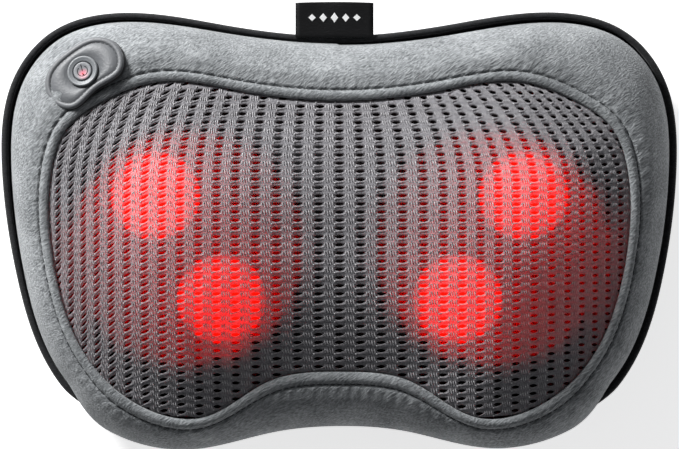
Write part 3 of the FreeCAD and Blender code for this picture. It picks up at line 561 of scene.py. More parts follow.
@dataclass(frozen=True)
class WovenCloth:
    """Polyester plain weave, piece-dyed.

    The yarns are drawn coarser than their real 0.4 mm, so that they show.
    """

    name: str
    dark: str
    light: str
    thread_mm: float = 0.8
    roughness: float = 0.85
    sheen: float = 0.15

    def build(self) -> bpy.types.Material:
        """Make the material. Crossed threads give a fine grain that catches side light.

        Returns:
            The material.
        """
        material, tree, shader, place = new_material(self.name)
        set_shader(shader, self.dark, roughness=self.roughness, sheen=self.sheen, specular=0.3)
        fine, slub = 1000 / self.thread_mm, 1000 / self.thread_mm / 5
        runs = ((slub, fine, fine), (fine, fine * 0.8, slub))
        across, upright = [self.yarn(tree, place, scale) for scale in runs]
        weave = add_node(tree, "ShaderNodeMath", links={0: across, 1: upright},
                         operation="MULTIPLY")
        colour = ramp(tree, weave.outputs[0], [(0.12, self.dark), (0.45, self.light)])
        tree.links.new(colour, shader.inputs["Base Color"])
        bump(tree, shader, weave.outputs[0], 0.0003, 0.7)
        return material

    def yarn(self, tree: bpy.types.NodeTree, place: bpy.types.NodeSocket,
             scale: tuple) -> bpy.types.NodeSocket:
        """Return the pattern of the yarns that run one way, long and uneven as spun ones are."""
        run = add_node(tree, "ShaderNodeMapping", {"Scale": scale}, {"Vector": place})
        return add_node(tree, "ShaderNodeTexNoise", {"Scale": 1.0, "Detail": 1.0},
                        {"Vector": run.outputs[0]}).outputs["Fac"]


@dataclass(frozen=True)
class Moulded:
    """A moulded plastic, rubber or leather-grained skin: even colour with a fine spark-eroded grain."""

    name: str
    colour: str
    roughness: float = 0.45
    grain_mm: float = 0.6
    grain_depth: float = 0.00006
    mottle: float = 0.12
    coat: float = 0.0
    specular: float = 0.5

    def build(self) -> bpy.types.Material:
        """Make the material. The grain breaks up highlights, and a slight mottle varies the colour.

        Returns:
            The material.
        """
        material, tree, shader, place = new_material(self.name)
        set_shader(shader, self.colour, roughness=self.roughness, coat=self.coat, specular=self.specular)
        grain = add_node(tree, "ShaderNodeTexVoronoi", {"Scale": 1000 / self.grain_mm}, {"Vector": place},
                         feature="SMOOTH_F1")
        cloud = add_node(tree, "ShaderNodeTexNoise", {"Scale": 90.0, "Detail": 3.0}, {"Vector": place})
        base = linear(self.colour)
        dark = tuple(c * (1 - self.mottle) for c in base[:3]) + (1,)
        pale = tuple(min(1, c * (1 + self.mottle)) for c in base[:3]) + (1,)
        node = add_node(tree, "ShaderNodeMix", {"A": dark, "B": pale}, {"Factor": cloud.outputs["Fac"]},
                        data_type="RGBA")
        tree.links.new(node.outputs["Result"], shader.inputs["Base Color"])
        bump(tree, shader, grain.outputs["Distance"], self.grain_depth)
        return material


@dataclass(frozen=True)
class WorkedMetal:
    """A turned, ground, pressed or plated metal, with the fine marks its working leaves."""

    name: str
    colour: str
    roughness: float = 0.3
    mark_mm: float = 0.25
    streak: tuple[float, float, float] = (1.0, 1.0, 1.0)

    def build(self) -> bpy.types.Material:
        """Make the material. The marks vary its gloss, as a worked surface's do.

        Returns:
            The material.
        """
        material, tree, shader, place = new_material(self.name)
        set_shader(shader, self.colour, metallic=1.0, roughness=self.roughness)
        fine = 1000 / self.mark_mm
        stretched = add_node(tree, "ShaderNodeMapping", {"Scale": tuple(fine * s for s in self.streak)},
                             {"Vector": place})
        marks = add_node(tree, "ShaderNodeTexNoise", {"Scale": 1.0, "Detail": 3.0},
                         {"Vector": stretched.outputs[0]})
        gloss = add_node(
            tree, "ShaderNodeMapRange", {"To Min": self.roughness * 0.75, "To Max": self.roughness * 1.3},
            {"Value": marks.outputs["Fac"]}
        )
        tree.links.new(gloss.outputs[0], shader.inputs["Roughness"])
        bump(tree, shader, marks.outputs["Fac"], 0.00003)
        return material


@dataclass(frozen=True)
class LitNodeCap:
    """Translucent red polycarbonate, moulded and lit from inside: brightest round the node's middle."""

    name: str
    centre: tuple[float, float]
    radius: float
    strength: float = 12.0

    def build(self) -> bpy.types.Material:
        """Make the material. The glow fades towards the rim, where the wall is seen edge on.

        Returns:
            The material.
        """
        material, tree, shader, place = new_material(self.name)
        set_shader(shader, "#B01010", roughness=0.25, coat=0.3)
        split = add_node(
            tree, "ShaderNodeMapping",
            {"Location": (-self.centre[0], -self.centre[1], 0), "Scale": (1, 1, 0)}, {"Vector": place}
        )
        reach = add_node(tree, "ShaderNodeVectorMath", links={0: split.outputs[0]}, operation="LENGTH")
        glow = add_node(tree, "ShaderNodeMapRange",
                        {"From Min": self.radius * 0.65, "From Max": self.radius * 1.04,
                         "To Min": self.strength,
                         "To Max": self.strength * 0.4}, {"Value": reach.outputs["Value"]},
                        interpolation_type="SMOOTHSTEP")
        shader.inputs["Emission Color"].default_value = linear("#FF0C04")
        tree.links.new(glow.outputs[0], shader.inputs["Emission Strength"])
        cloud = add_node(tree, "ShaderNodeTexNoise", {"Scale": 300.0}, {"Vector": place})
        bump(tree, shader, cloud.outputs["Fac"], 0.0001)
        return material


@dataclass(frozen=True)
class IndicatorGlow:
    """Red lamp light in a translucent button: a small bright point with a pink halo round it."""

    name: str
    colour: str
    centre: Vector
    halo: float = 0.0034

    def build(self) -> bpy.types.Material:
        """Make the material. The halo fades within a few millimetres of the lamp.

        Returns:
            The material.
        """
        material, tree, shader, place = new_material(self.name)
        set_shader(shader, self.colour, roughness=0.4)
        away = add_node(tree, "ShaderNodeVectorMath", {1: tuple(self.centre)}, {0: place},
                        operation="DISTANCE")
        glow = add_node(
            tree, "ShaderNodeMapRange",
            {"From Min": 0.0005, "From Max": self.halo, "To Min": 1.0, "To Max": 0.0},
            {"Value": away.outputs["Value"]}, interpolation_type="SMOOTHSTEP"
        )
        tint = add_node(tree, "ShaderNodeMix", {"A": linear(self.colour), "B": linear("#A8405A")},
                        {"Factor": glow.outputs[0]}, data_type="RGBA")
        tree.links.new(tint.outputs["Result"], shader.inputs["Base Color"])
        shader.inputs["Emission Color"].default_value = linear("#E8304A")
        power = add_node(tree, "ShaderNodeMath", {1: 0.14}, {0: glow.outputs[0]}, operation="MULTIPLY")
        tree.links.new(power.outputs[0], shader.inputs["Emission Strength"])
        grain = add_node(tree, "ShaderNodeTexNoise", {"Scale": 1600.0}, {"Vector": place})
        bump(tree, shader, grain.outputs["Fac"], 0.00004)
        return material


# ------------------------------------------------------------------ the sewn cover


@dataclass
class PlushBorder:
    """The brushed plush border, folded under at the mesh and topstitched just outside it."""

    form: PillowForm
    band: float = 0.0046
    wall: float = 0.0022
    hem: float = 0.0056
    groove: float = 0.0010
    puff: float = 0.0012
    far_rows: int = 26
    near_steps: tuple = (0.0, 0.0006, 0.0013, 0.0022, 0.0032, 0.0041, 0.0048, 0.0053, 0.0057, 0.0062, 0.0068,
                         0.0077, 0.0088)

    def surface(self, distance: np.ndarray, share: np.ndarray) -> np.ndarray:
        """Return points of the outer surface.

        Args:
            distance: How far each column's point is from the face's edge.
            share: The same as a share of the border's width there.

        Returns:
            The points, one for each column.
        """
        form = self.form
        gap = form.cover - form.face
        flat = form.face + gap * share[:, None]
        rim = outward(form.cover)
        dark = form.band_share(form.cover[:, 1])
        low = form.border_foot
        level = low + (form.edge_level - low) * np.sqrt(np.clip(1 - share**2, 0, 1))
        stitch = distance - self.hem
        along = run_along(form.face)
        pucker = 0.0004 * np.sin(along / 0.0062 * math.tau + 2 * np.sin(along / 0.021))
        level -= (self.groove + pucker) * np.exp(-((stitch / 0.0009) ** 2))
        level += 0.0007 * np.sin(math.pi * np.clip(distance / self.hem, 0, 1))
        level += self.puff * smooth_step(0.002, 0.010, stitch) * (1 - share**4)
        level += pucker * 0.6 * np.exp(-(((stitch - 0.003) / 0.003) ** 2))
        inset = self.band * dark * share + 0.0006 * np.sin(along / 0.047) * share**2
        swell = 0.0010 * (1 - dark) * share + 0.0012 * np.clip(share * 4 - 3, 0, 1) * (1 - share) * 4
        flat = flat - rim * (inset - swell)[:, None]
        return np.column_stack([flat, level])

    def build(self, material: bpy.types.Material) -> bpy.types.Object:
        """Sew the border: its outer face, the fold at the mesh and its inner face, closed all round.

        Args:
            material: Its finish.

        Returns:
            The piece.
        """
        width = np.linalg.norm(self.form.cover - self.form.face, axis=1)
        rows = []
        for step in self.near_steps:
            rows.append((np.full(width.shape, step), step / width))
        first = np.arccos(np.clip(self.near_steps[-1] / width, 0, 1))
        for row in range(1, self.far_rows + 1):
            share = np.cos(first * (1 - row / self.far_rows))
            rows.append((share * width, share))
        outer = [self.surface(distance, share) for distance, share in rows]
        rim = outward(self.form.cover)
        inner = []
        for (distance, share), points in zip(rows[::3] + [rows[-1]], outer[::3] + [outer[-1]]):
            under = points.copy()
            under[:, :2] -= rim * (self.wall * share)[:, None]
            under[:, 2] -= self.wall * np.sqrt(np.clip(1 - share**2, 0, 1))
            inner.append(under)
        edge = outer[0].copy()
        fold = edge.copy()
        fold[:, :2] -= outward(self.form.face) * 0.0005
        fold[:, 2] -= 0.0011
        loop = outer + inner[::-1] + [fold]
        points = np.concatenate(loop)
        piece = mesh_object("plush_border", points, ring_faces(len(loop), self.form.count, close_rows=True))
        turn_outwards(piece)
        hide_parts("plush_front_cover")
        dress(piece, material, "casing")
        return piece


@dataclass
class StuffedHull:
    """A copy of the pillow, blown up as cloth between its seams: it tells how far the cover swells."""

    form: PillowForm
    border: PlushBorder
    voxel: float = 0.005
    pressure: float = 4.0
    limit: float = 0.005
    frames: int = 20
    seam_reach: float = 0.005
    quality: int = 5
    neighbours: int = 6
    blur: float = 0.001

    def rings(self) -> list[np.ndarray]:
        """Return the hull's rings, from the middle of the back round the seam to the middle of the face.

        Returns:
            The rings.
        """
        form = self.form
        rim = outward(form.cover)
        width = np.linalg.norm(form.cover - form.face, axis=1)
        count = np.ones(len(rim))
        loop = [
            np.column_stack([(form.cover - rim * 0.020) * share, 0 * count]) for share in (0.2, 0.5, 0.8, 1.0)
        ]
        for angle in np.radians((20, 40, 60, 80)):
            flat = form.cover - rim * 0.020 * (1 - math.sin(angle))
            loop.append(np.column_stack([flat, 0.030 * (1 - math.cos(angle)) * count]))
        shares = (1.0, 0.97, 0.85, 0.65, 0.45, 0.25, 0.1, 0.0)
        loop += [self.border.surface(width * share, share * count) for share in shares]
        for share in (0.8, 0.5, 0.2):
            flat = form.face * share
            loop.append(np.column_stack([flat, form.height(flat[:, 0], flat[:, 1])]))
        return [ring[::4] for ring in loop]

    def build(self) -> tuple[np.ndarray, np.ndarray]:
        """Blow up the hull, and return its points before and how far each one moved.

        Returns:
            The points before, and how far each one moved.
        """
        rings = self.rings()
        columns = len(rings[0])
        faces = ring_faces(len(rings), columns)
        faces += [
            tuple(range(columns)), tuple(reversed(range((len(rings) - 1) * columns, len(rings) * columns)))
        ]
        hull = mesh_object("stuffed_hull", np.concatenate(rings), faces)
        turn_outwards(hull)
        remesh = hull.modifiers.new("even", "REMESH")
        remesh.mode, remesh.voxel_size = "VOXEL", self.voxel
        plain_mesh(hull)
        before = np.array([tuple(vertex.co) for vertex in hull.data.vertices])
        distance, within = self.form.inside(before[:, 0], before[:, 1])
        seam = np.abs(before[:, 2] - self.form.seam_level) < self.seam_reach
        face = within & (before[:, 2] > 0.05)
        hem = distance < self.border.hem + 0.002
        back = before[:, 2] < 0.003
        held = face | hem | seam | back
        group = hull.vertex_groups.new(name="held")
        group.add(np.flatnonzero(held).tolist(), 1.0, "REPLACE")
        cloth = hull.modifiers.new("cloth", "CLOTH")
        cloth.settings.quality = self.quality
        cloth.settings.use_pressure = True
        cloth.settings.uniform_pressure_force = self.pressure
        cloth.settings.vertex_group_mass = "held"
        cloth.settings.effector_weights.gravity = 0.0
        cloth.point_cache.frame_start, cloth.point_cache.frame_end = 1, self.frames
        scene = bpy.context.scene
        for frame_number in range(1, self.frames + 1):
            scene.frame_set(frame_number)
        shape = hull.evaluated_get(bpy.context.evaluated_depsgraph_get()).to_mesh()
        moved = np.array([tuple(vertex.co) for vertex in shape.vertices]) - before
        scene.frame_set(1)
        bpy.data.objects.remove(hull)
        length = np.linalg.norm(moved, axis=1)[:, None]
        return before, moved * np.minimum(1, self.limit / np.maximum(length, 1e-9))

    def swell(self, pieces: list[bpy.types.Object]) -> None:
        """Move the cover's pieces as far as the blown-up hull moved beside them.

        Args:
            pieces: The cover's pieces.
        """
        before, moved = self.build()
        tree = KDTree(len(before))
        for index, place in enumerate(before):
            tree.insert(place, index)
        tree.balance()
        for piece in pieces:
            for vertex in piece.data.vertices:
                near = tree.find_n(vertex.co, self.neighbours)
                weights = [1 / (gap + self.blur) ** 2 for _, _, gap in near]
                shift = sum(w * moved[index] for w, (_, index, _) in zip(weights, near)) / sum(weights)
                vertex.co = vertex.co + Vector(shift)


@dataclass
class Topstitch:
    """The line of lockstitches that holds the border's hem, laid by a node tree along the groove."""

    form: PillowForm
    border: PlushBorder
    pitch: float = 0.0034
    length: float = 0.0024
    radius: float = 0.00032

    def tree(self) -> bpy.types.GeometryNodeTree:
        """Build the tree: even points along a curve, a short thread on each, turned along it.

        Returns:
            The tree.
        """
        tree = bpy.data.node_groups.new("stitches_along_a_seam", "GeometryNodeTree")
        face = tree.interface
        face.new_socket("Geometry", in_out="INPUT", socket_type="NodeSocketGeometry")
        face.new_socket("Pitch", in_out="INPUT", socket_type="NodeSocketFloat").default_value = self.pitch
        face.new_socket("Stitch", in_out="INPUT", socket_type="NodeSocketObject")
        face.new_socket("Thread", in_out="INPUT", socket_type="NodeSocketMaterial")
        face.new_socket("Geometry", in_out="OUTPUT", socket_type="NodeSocketGeometry")
        start = add_node(tree, "NodeGroupInput")
        even = add_node(tree, "GeometryNodeCurveToPoints", mode="LENGTH",
                        links={"Curve": start.outputs["Geometry"], "Length": start.outputs["Pitch"]})
        thread = add_node(tree, "GeometryNodeObjectInfo", links={"Object": start.outputs["Stitch"]})
        laid = add_node(tree, "GeometryNodeInstanceOnPoints",
                        links={"Points": even.outputs["Points"], "Instance": thread.outputs["Geometry"],
                               "Rotation": even.outputs["Rotation"]})
        real = add_node(tree, "GeometryNodeRealizeInstances", links={"Geometry": laid.outputs["Instances"]})
        dressed = add_node(
            tree, "GeometryNodeSetMaterial",
            links={"Geometry": real.outputs["Geometry"], "Material": start.outputs["Thread"]}
        )
        add_node(tree, "NodeGroupOutput", links={"Geometry": dressed.outputs["Geometry"]})
        return tree

    def lay(self, name: str, path: np.ndarray, material: bpy.types.Material) -> bpy.types.Object:
        """Lay stitches along a closed path.

        Args:
            name: The piece's name.
            path: The points of the seam.
            material: The thread.

        Returns:
            The stitches as one plain mesh.
        """
        steps = np.linspace(0, math.pi, 5)
        spine = np.column_stack([0 * steps, 0.0002 * np.sin(steps) - 0.0001,
                                 (steps / math.pi - 0.5) * self.length])
        points, faces = [], []
        for row, (x, y, z) in enumerate(spine):
            thick = self.radius * (0.55 if row in (0, 4) else 1.0)
            points += [(x + thick * math.cos(a), y + thick * math.sin(a), z)
                       for a in np.linspace(0, math.tau, 6, endpoint=False)]
        faces = [tuple(reversed(f)) for f in ring_faces(5, 6)]
        faces += [tuple(reversed(range(6))), tuple(range(24, 30))]
        thread = mesh_object("thread_pattern", points, faces)
        turn_outwards(thread)
        curve = bpy.data.curves.new(name, "CURVE")
        curve.dimensions = "3D"
        spline = curve.splines.new("POLY")
        spline.points.add(len(path) - 1)
        spline.points.foreach_set("co", np.column_stack([path, np.ones(len(path))]).ravel())
        spline.use_cyclic_u = True
        seam = bpy.data.objects.new(name, curve)
        bpy.context.scene.collection.objects.link(seam)
        tree = self.tree()
        modifier = seam.modifiers.new("stitches", "NODES")
        modifier.node_group = tree
        sockets = {item.name: item.identifier for item in tree.interface.items_tree if item.in_out == "INPUT"}
        modifier[sockets["Pitch"]] = self.pitch
        modifier[sockets["Stitch"]] = thread
        modifier[sockets["Thread"]] = material
        made = plain_mesh(seam)
        bpy.data.objects.remove(thread)
        made.data.shade_smooth()
        return made

    def build(self, material: bpy.types.Material) -> bpy.types.Object:
        """Lay the topstitch in the border's groove."""
        width = np.linalg.norm(self.form.cover - self.form.face, axis=1)
        distance = np.full(width.shape, self.border.hem)
        path = self.border.surface(distance, distance / width)
        path[:, 2] += 0.0001
        return dress(self.lay("topstitch", path, material), material, "casing")


@dataclass
class AirMeshFace:
    """The knitted spacer mesh of the massage face: rows of eyelets between ribs of looped yarn."""

    form: PillowForm
    column_pitch: float = 0.0103
    row_pitch: float = 0.0040
    hole_width: float = 0.0047
    hole_height: float = 0.0018
    depth: float = 0.0011
    columns: int = 39
    rows: int = 45
    tuck: float = 0.0030
    sink: float = 0.0016

    def column_places(self) -> tuple[np.ndarray, np.ndarray]:
        """Return each column's number and place: the knit is stretched least in the middle of the face.

        Returns:
            The numbers and the places.
        """
        places = [0.0]
        for _ in range(self.columns // 2 + 2):
            x = places[-1]
            places.append(x + self.column_pitch - 0.0015 * float(smooth_step(0.030, 0.060, np.array(x)))
                          - 0.0024 * float(smooth_step(0.090, 0.125, np.array(x))))
        right = np.array(places)
        numbers = np.arange(len(right))
        return np.concatenate([-numbers[:0:-1], numbers]), np.concatenate([-right[:0:-1], right])

    def warp(self, across: np.ndarray, up: np.ndarray, relief: np.ndarray) -> np.ndarray:
        """Lay flat knitting over the crowned face.

        Args:
            across: Places in columns from the middle one.
            up: Places in rows from the middle one.
            relief: Heights over the ground fabric.

        Returns:
            The points over the pillow.
        """
        numbers, places = self.column_places()
        x = np.interp(across, numbers, places)
        slant = 0.0017 * smooth_step(0.060, 0.130, -x)
        y = up * self.row_pitch * (1 - 0.05 * smooth_step(0.05, 0.12, np.abs(x))) - 0.0060
        y = y + slant * np.sin((across - np.round(across)) * 3.0) * 1.2
        y = y + 0.0020 * smooth_step(0.085, 0.125, -x) * (np.mod(np.round(across), 2) - 0.5)
        y = y + 0.030 * (x / 0.15) ** 2 * np.clip(y, 0, 1) * 2
        draw = np.clip((y - 0.018) / 0.060, 0, 1.2)
        pull = np.where(x > 0, 0.34, 0.17)
        x = x * (1 - pull * draw**2)
        distance, within = self.form.inside(x, y)
        signed = np.where(within, distance, -distance)
        level = self.form.height(x, y)
        drop = self.sink + 0.0016 * (1 - smooth_step(-0.001, 0.003, signed)) + 0.35 * np.clip(-signed, 0, 1)
        flatten = smooth_step(-0.0015, 0.002, signed)
        return np.column_stack([x, y, level - drop + relief * flatten])

    def grid_tree(self) -> bpy.types.GeometryNodeTree:
        """Build the tree that repeats one knitted cell over a flat grid.

        Returns:
            The tree.
        """
        tree = bpy.data.node_groups.new("knitted_cells", "GeometryNodeTree")
        face = tree.interface
        face.new_socket("Geometry", in_out="INPUT", socket_type="NodeSocketGeometry")
        for name, value in (("Columns", self.columns), ("Rows", self.rows)):
            face.new_socket(name, in_out="INPUT", socket_type="NodeSocketInt").default_value = value
        face.new_socket("Cell", in_out="INPUT", socket_type="NodeSocketObject")
        face.new_socket("Yarn", in_out="INPUT", socket_type="NodeSocketMaterial")
        face.new_socket("Geometry", in_out="OUTPUT", socket_type="NodeSocketGeometry")
        start = add_node(tree, "NodeGroupInput")
        wide = add_node(tree, "ShaderNodeMath", {1: 1.0}, {0: start.outputs["Columns"]},
                        operation="SUBTRACT")
        tall = add_node(tree, "ShaderNodeMath", {1: 1.0}, {0: start.outputs["Rows"]}, operation="SUBTRACT")
        grid = add_node(tree, "GeometryNodeMeshGrid",
                        links={"Size X": wide.outputs[0], "Size Y": tall.outputs[0],
                               "Vertices X": start.outputs["Columns"], "Vertices Y": start.outputs["Rows"]})
        cell = add_node(tree, "GeometryNodeObjectInfo", links={"Object": start.outputs["Cell"]})
        laid = add_node(tree, "GeometryNodeInstanceOnPoints",
                        links={"Points": grid.outputs["Mesh"], "Instance": cell.outputs["Geometry"]})
        real = add_node(tree, "GeometryNodeRealizeInstances", links={"Geometry": laid.outputs["Instances"]})
        dressed = add_node(
            tree, "GeometryNodeSetMaterial",
            links={"Geometry": real.outputs["Geometry"], "Material": start.outputs["Yarn"]}
        )
        add_node(tree, "NodeGroupOutput", links={"Geometry": dressed.outputs["Geometry"]})
        return tree

    def repeat(self, name: str, points: list, faces: list, material: bpy.types.Material, merge: bool,
               room: float) -> bpy.types.Object:
        """Repeat a cell over the face and trim it at the hem.

        Args:
            name: The piece's name.
            points: The cell's points, across and up in cells, and height in metres.
            faces: The cell's faces.
            material: The yarn.
            merge: Whether neighbouring cells are joined.
            room: How far past the face's edge the cells may reach.

        Returns:
            The piece as a plain mesh.
        """
        cell = mesh_object(name + "_cell", points, faces)
        holder = mesh_object(name, np.zeros((1, 3)), [])
        tree = self.grid_tree()
        modifier = holder.modifiers.new("cells", "NODES")
        modifier.node_group = tree
        sockets = {item.name: item.identifier for item in tree.interface.items_tree if item.in_out == "INPUT"}
        modifier[sockets["Columns"]] = self.columns
        modifier[sockets["Rows"]] = self.rows
        modifier[sockets["Cell"]] = cell
        modifier[sockets["Yarn"]] = material
        made = plain_mesh(holder)
        bpy.data.objects.remove(cell)
        mesh = made.data
        flat = np.zeros(len(mesh.vertices) * 3)
        mesh.vertices.foreach_get("co", flat)
        flat = flat.reshape(-1, 3)
        laid = self.warp(flat[:, 0], flat[:, 1], flat[:, 2])
        mesh.vertices.foreach_set("co", laid.ravel())
        distance, within = self.form.inside(laid[:, 0], laid[:, 1])
        outside = ~within & (distance > room)
        work = bmesh.new()
        work.from_mesh(mesh)
        work.verts.ensure_lookup_table()
        doomed = [vertex for vertex, gone in zip(work.verts, outside) if gone]
        if merge:
            bmesh.ops.delete(work, geom=doomed, context="VERTS")
            bmesh.ops.remove_doubles(work, verts=work.verts, dist=1e-5)
        else:
            linked = set()
            for vertex in doomed:
                stack = [vertex]
                while stack:
                    here = stack.pop()
                    if here in linked:
                        continue
                    linked.add(here)
                    stack += [edge.other_vert(here) for edge in here.link_edges]
            bmesh.ops.delete(work, geom=list(linked), context="VERTS")
        work.to_mesh(mesh)
        work.free()
        mesh.shade_smooth()
        return made

    def ground(self, material: bpy.types.Material) -> bpy.types.Object:
        """Knit the ground fabric: one cell with its eyelet, repeated and joined.

        Args:
            material: Its finish.

        Returns:
            The piece.
        """
        half_w = self.hole_width / self.column_pitch / 2
        half_h = self.hole_height / self.row_pitch / 2
        border, hole = [], []
        for step in range(16):
            angle = math.tau * step / 16
            c, s = math.cos(angle), math.sin(angle)
            reach = 0.5 / max(abs(c), abs(s))
            border.append((c * reach, s * reach))
            hole.append((c * half_w, s * half_h * (1 - 0.25 * abs(c) ** 3)))
        rings = [
            [(x, y, 0.0) for x, y in border],
            [
                (bx * 0.45 + hx * 0.55, by * 0.45 + hy * 0.55, 0.00035) for (bx, by),
                (hx, hy) in zip(border, hole)
            ],
            [(hx, hy, -0.0002) for hx, hy in hole], [(hx * 0.94, hy * 0.9, -self.depth) for hx, hy in hole],
        ]
        points = [p for ring in rings for p in ring]
        faces = ring_faces(len(rings), 16)
        return self.repeat("air_mesh", points, faces, material, True, self.tuck)

    def strand(self, spine: list, radius: float, sides: int) -> tuple[list, list]:
        """Return one yarn of a cell, drawn in metres and scaled back to cells.

        Args:
            spine: The yarn's middle line, in metres from the cell's middle.
            radius: The yarn's radius.
            sides: How many points go round it.

        Returns:
            Its points and its faces.
        """
        path = np.array(spine, float)
        points, faces = tube(path, radius, sides, False)
        points = points.copy()
        for row in (0, len(path) - 1):
            part = slice(row * sides, (row + 1) * sides)
            points[part] = path[row] + (points[part] - path[row]) * 0.35
        points[:, 0] /= self.column_pitch
        points[:, 1] /= self.row_pitch
        return points.tolist(), faces

    def loops(self, material: bpy.types.Material) -> bpy.types.Object:
        """Knit the ribs: leaning loops of pale yarn, three abreast, on each rib; their pale colour is partly
        painted highlight.

        Args:
            material: Its finish.

        Returns:
            The piece.
        """
        points, faces = [], []
        half = self.column_pitch / 2
        yarns = [(across, 0.0, 0.00075, 0.0031, 0.00030) for across in (-0.0020, -0.0007, 0.0006, 0.0019)]
        yarns.append((0.0029, -0.0017, 0.0001, 0.0009, 0.00048))
        for across, up, lean, length, radius in yarns:
            spine = [(half + across + lean * (t - 0.5), up - length * (t - 0.5),
                      0.00010 + 0.00050 * math.sin(math.pi * t))
                     for t in np.linspace(0, 1, 4)]
            made, made_faces = self.strand(spine, radius, 4)
            faces += [tuple(len(points) + i for i in f) for f in made_faces]
            points += made
        return self.repeat("air_mesh_loops", points, faces, material, False, -0.0)

    def rungs(self, material: bpy.types.Material) -> bpy.types.Object:
        """Knit the rungs: a curved yarn under each eyelet, climbing to the rib on its right."""
        steps = np.linspace(0, 1, 9)
        spine = [(-0.0036 + 0.0084 * t, -0.00155 + 0.0030 * t**2.4, 0.00025 + 0.0004 * math.sin(math.pi * t))
                 for t in steps]
        points, faces = self.strand(spine, 0.00018, 4)
        return self.repeat("air_mesh_rungs", points, faces, material, False, -0.0)

    def build(self, ground: bpy.types.Material, bright: bpy.types.Material,
              rung: bpy.types.Material) -> list:
        """Knit the whole face, and return its three pieces.

        Args:
            ground: The ground yarn.
            bright: The ribs' yarn, coloured pale partly as painted highlight.
            rung: The rungs' yarn.

        Returns:
            The pieces.
        """
        sheet = dress(self.ground(ground), ground, "casing")
        loops = dress(self.loops(bright), bright, "casing")
        rungs = dress(self.rungs(rung), rung, "casing")
        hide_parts("mesh_panel")
        return [sheet, loops, rungs]


def disc_sheet(name: str, form: PillowForm, edge: np.ndarray, drop: float, thick: float,
               rings: int = 26) -> bpy.types.Object:
    """Make a thin closed sheet under the face, from rings drawn in towards its middle.

    Args:
        name: The piece's name.
        form: The pillow.
        edge: The sheet's outline.
        drop: How far its upper side lies under the face.
        thick: Its thickness.
        rings: How many rings it has.

    Returns:
        The sheet.
    """
    upper, lower = [], []
    for ring in range(rings):
        share = 1 - ring / rings
        flat = edge * share
        level = form.height(flat[:, 0], flat[:, 1]) - drop
        upper.append(np.column_stack([flat, level]))
        lower.append(np.column_stack([flat, level - thick]))
    loop = lower[::-1] + upper
    count = len(edge)
    points = np.concatenate(loop)
    faces = ring_faces(len(loop), count)
    middle = form.height(np.zeros(1), np.zeros(1))[0] - drop
    points = np.concatenate([points, [[0, 0, middle - thick], [0, 0, middle]]])
    total = len(loop) * count
    for column in range(count):
        beside = (column + 1) % count
        faces.append((total, column, beside))
        faces.append((total + 1, total - count + beside, total - count + column))
    piece = mesh_object(name, points, faces)
    turn_outwards(piece)
    return piece


@dataclass
class Lining:
    """The voile lining under the mesh."""

    form: PillowForm
    drop: float = 0.0045
    thick: float = 0.0005

    def build(self, material: bpy.types.Material) -> bpy.types.Object:
        """Cut the lining to the face's outline and lay it under the mesh.

        Args:
            material: Its finish.

        Returns:
            The piece.
        """
        edge = self.form.face[::4] - outward(self.form.face)[::4] * 0.0008
        piece = disc_sheet("voile_lining", self.form, edge, self.drop, self.thick)
        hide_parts("inner_liner")
        dress(piece, material, "casing")
        return piece


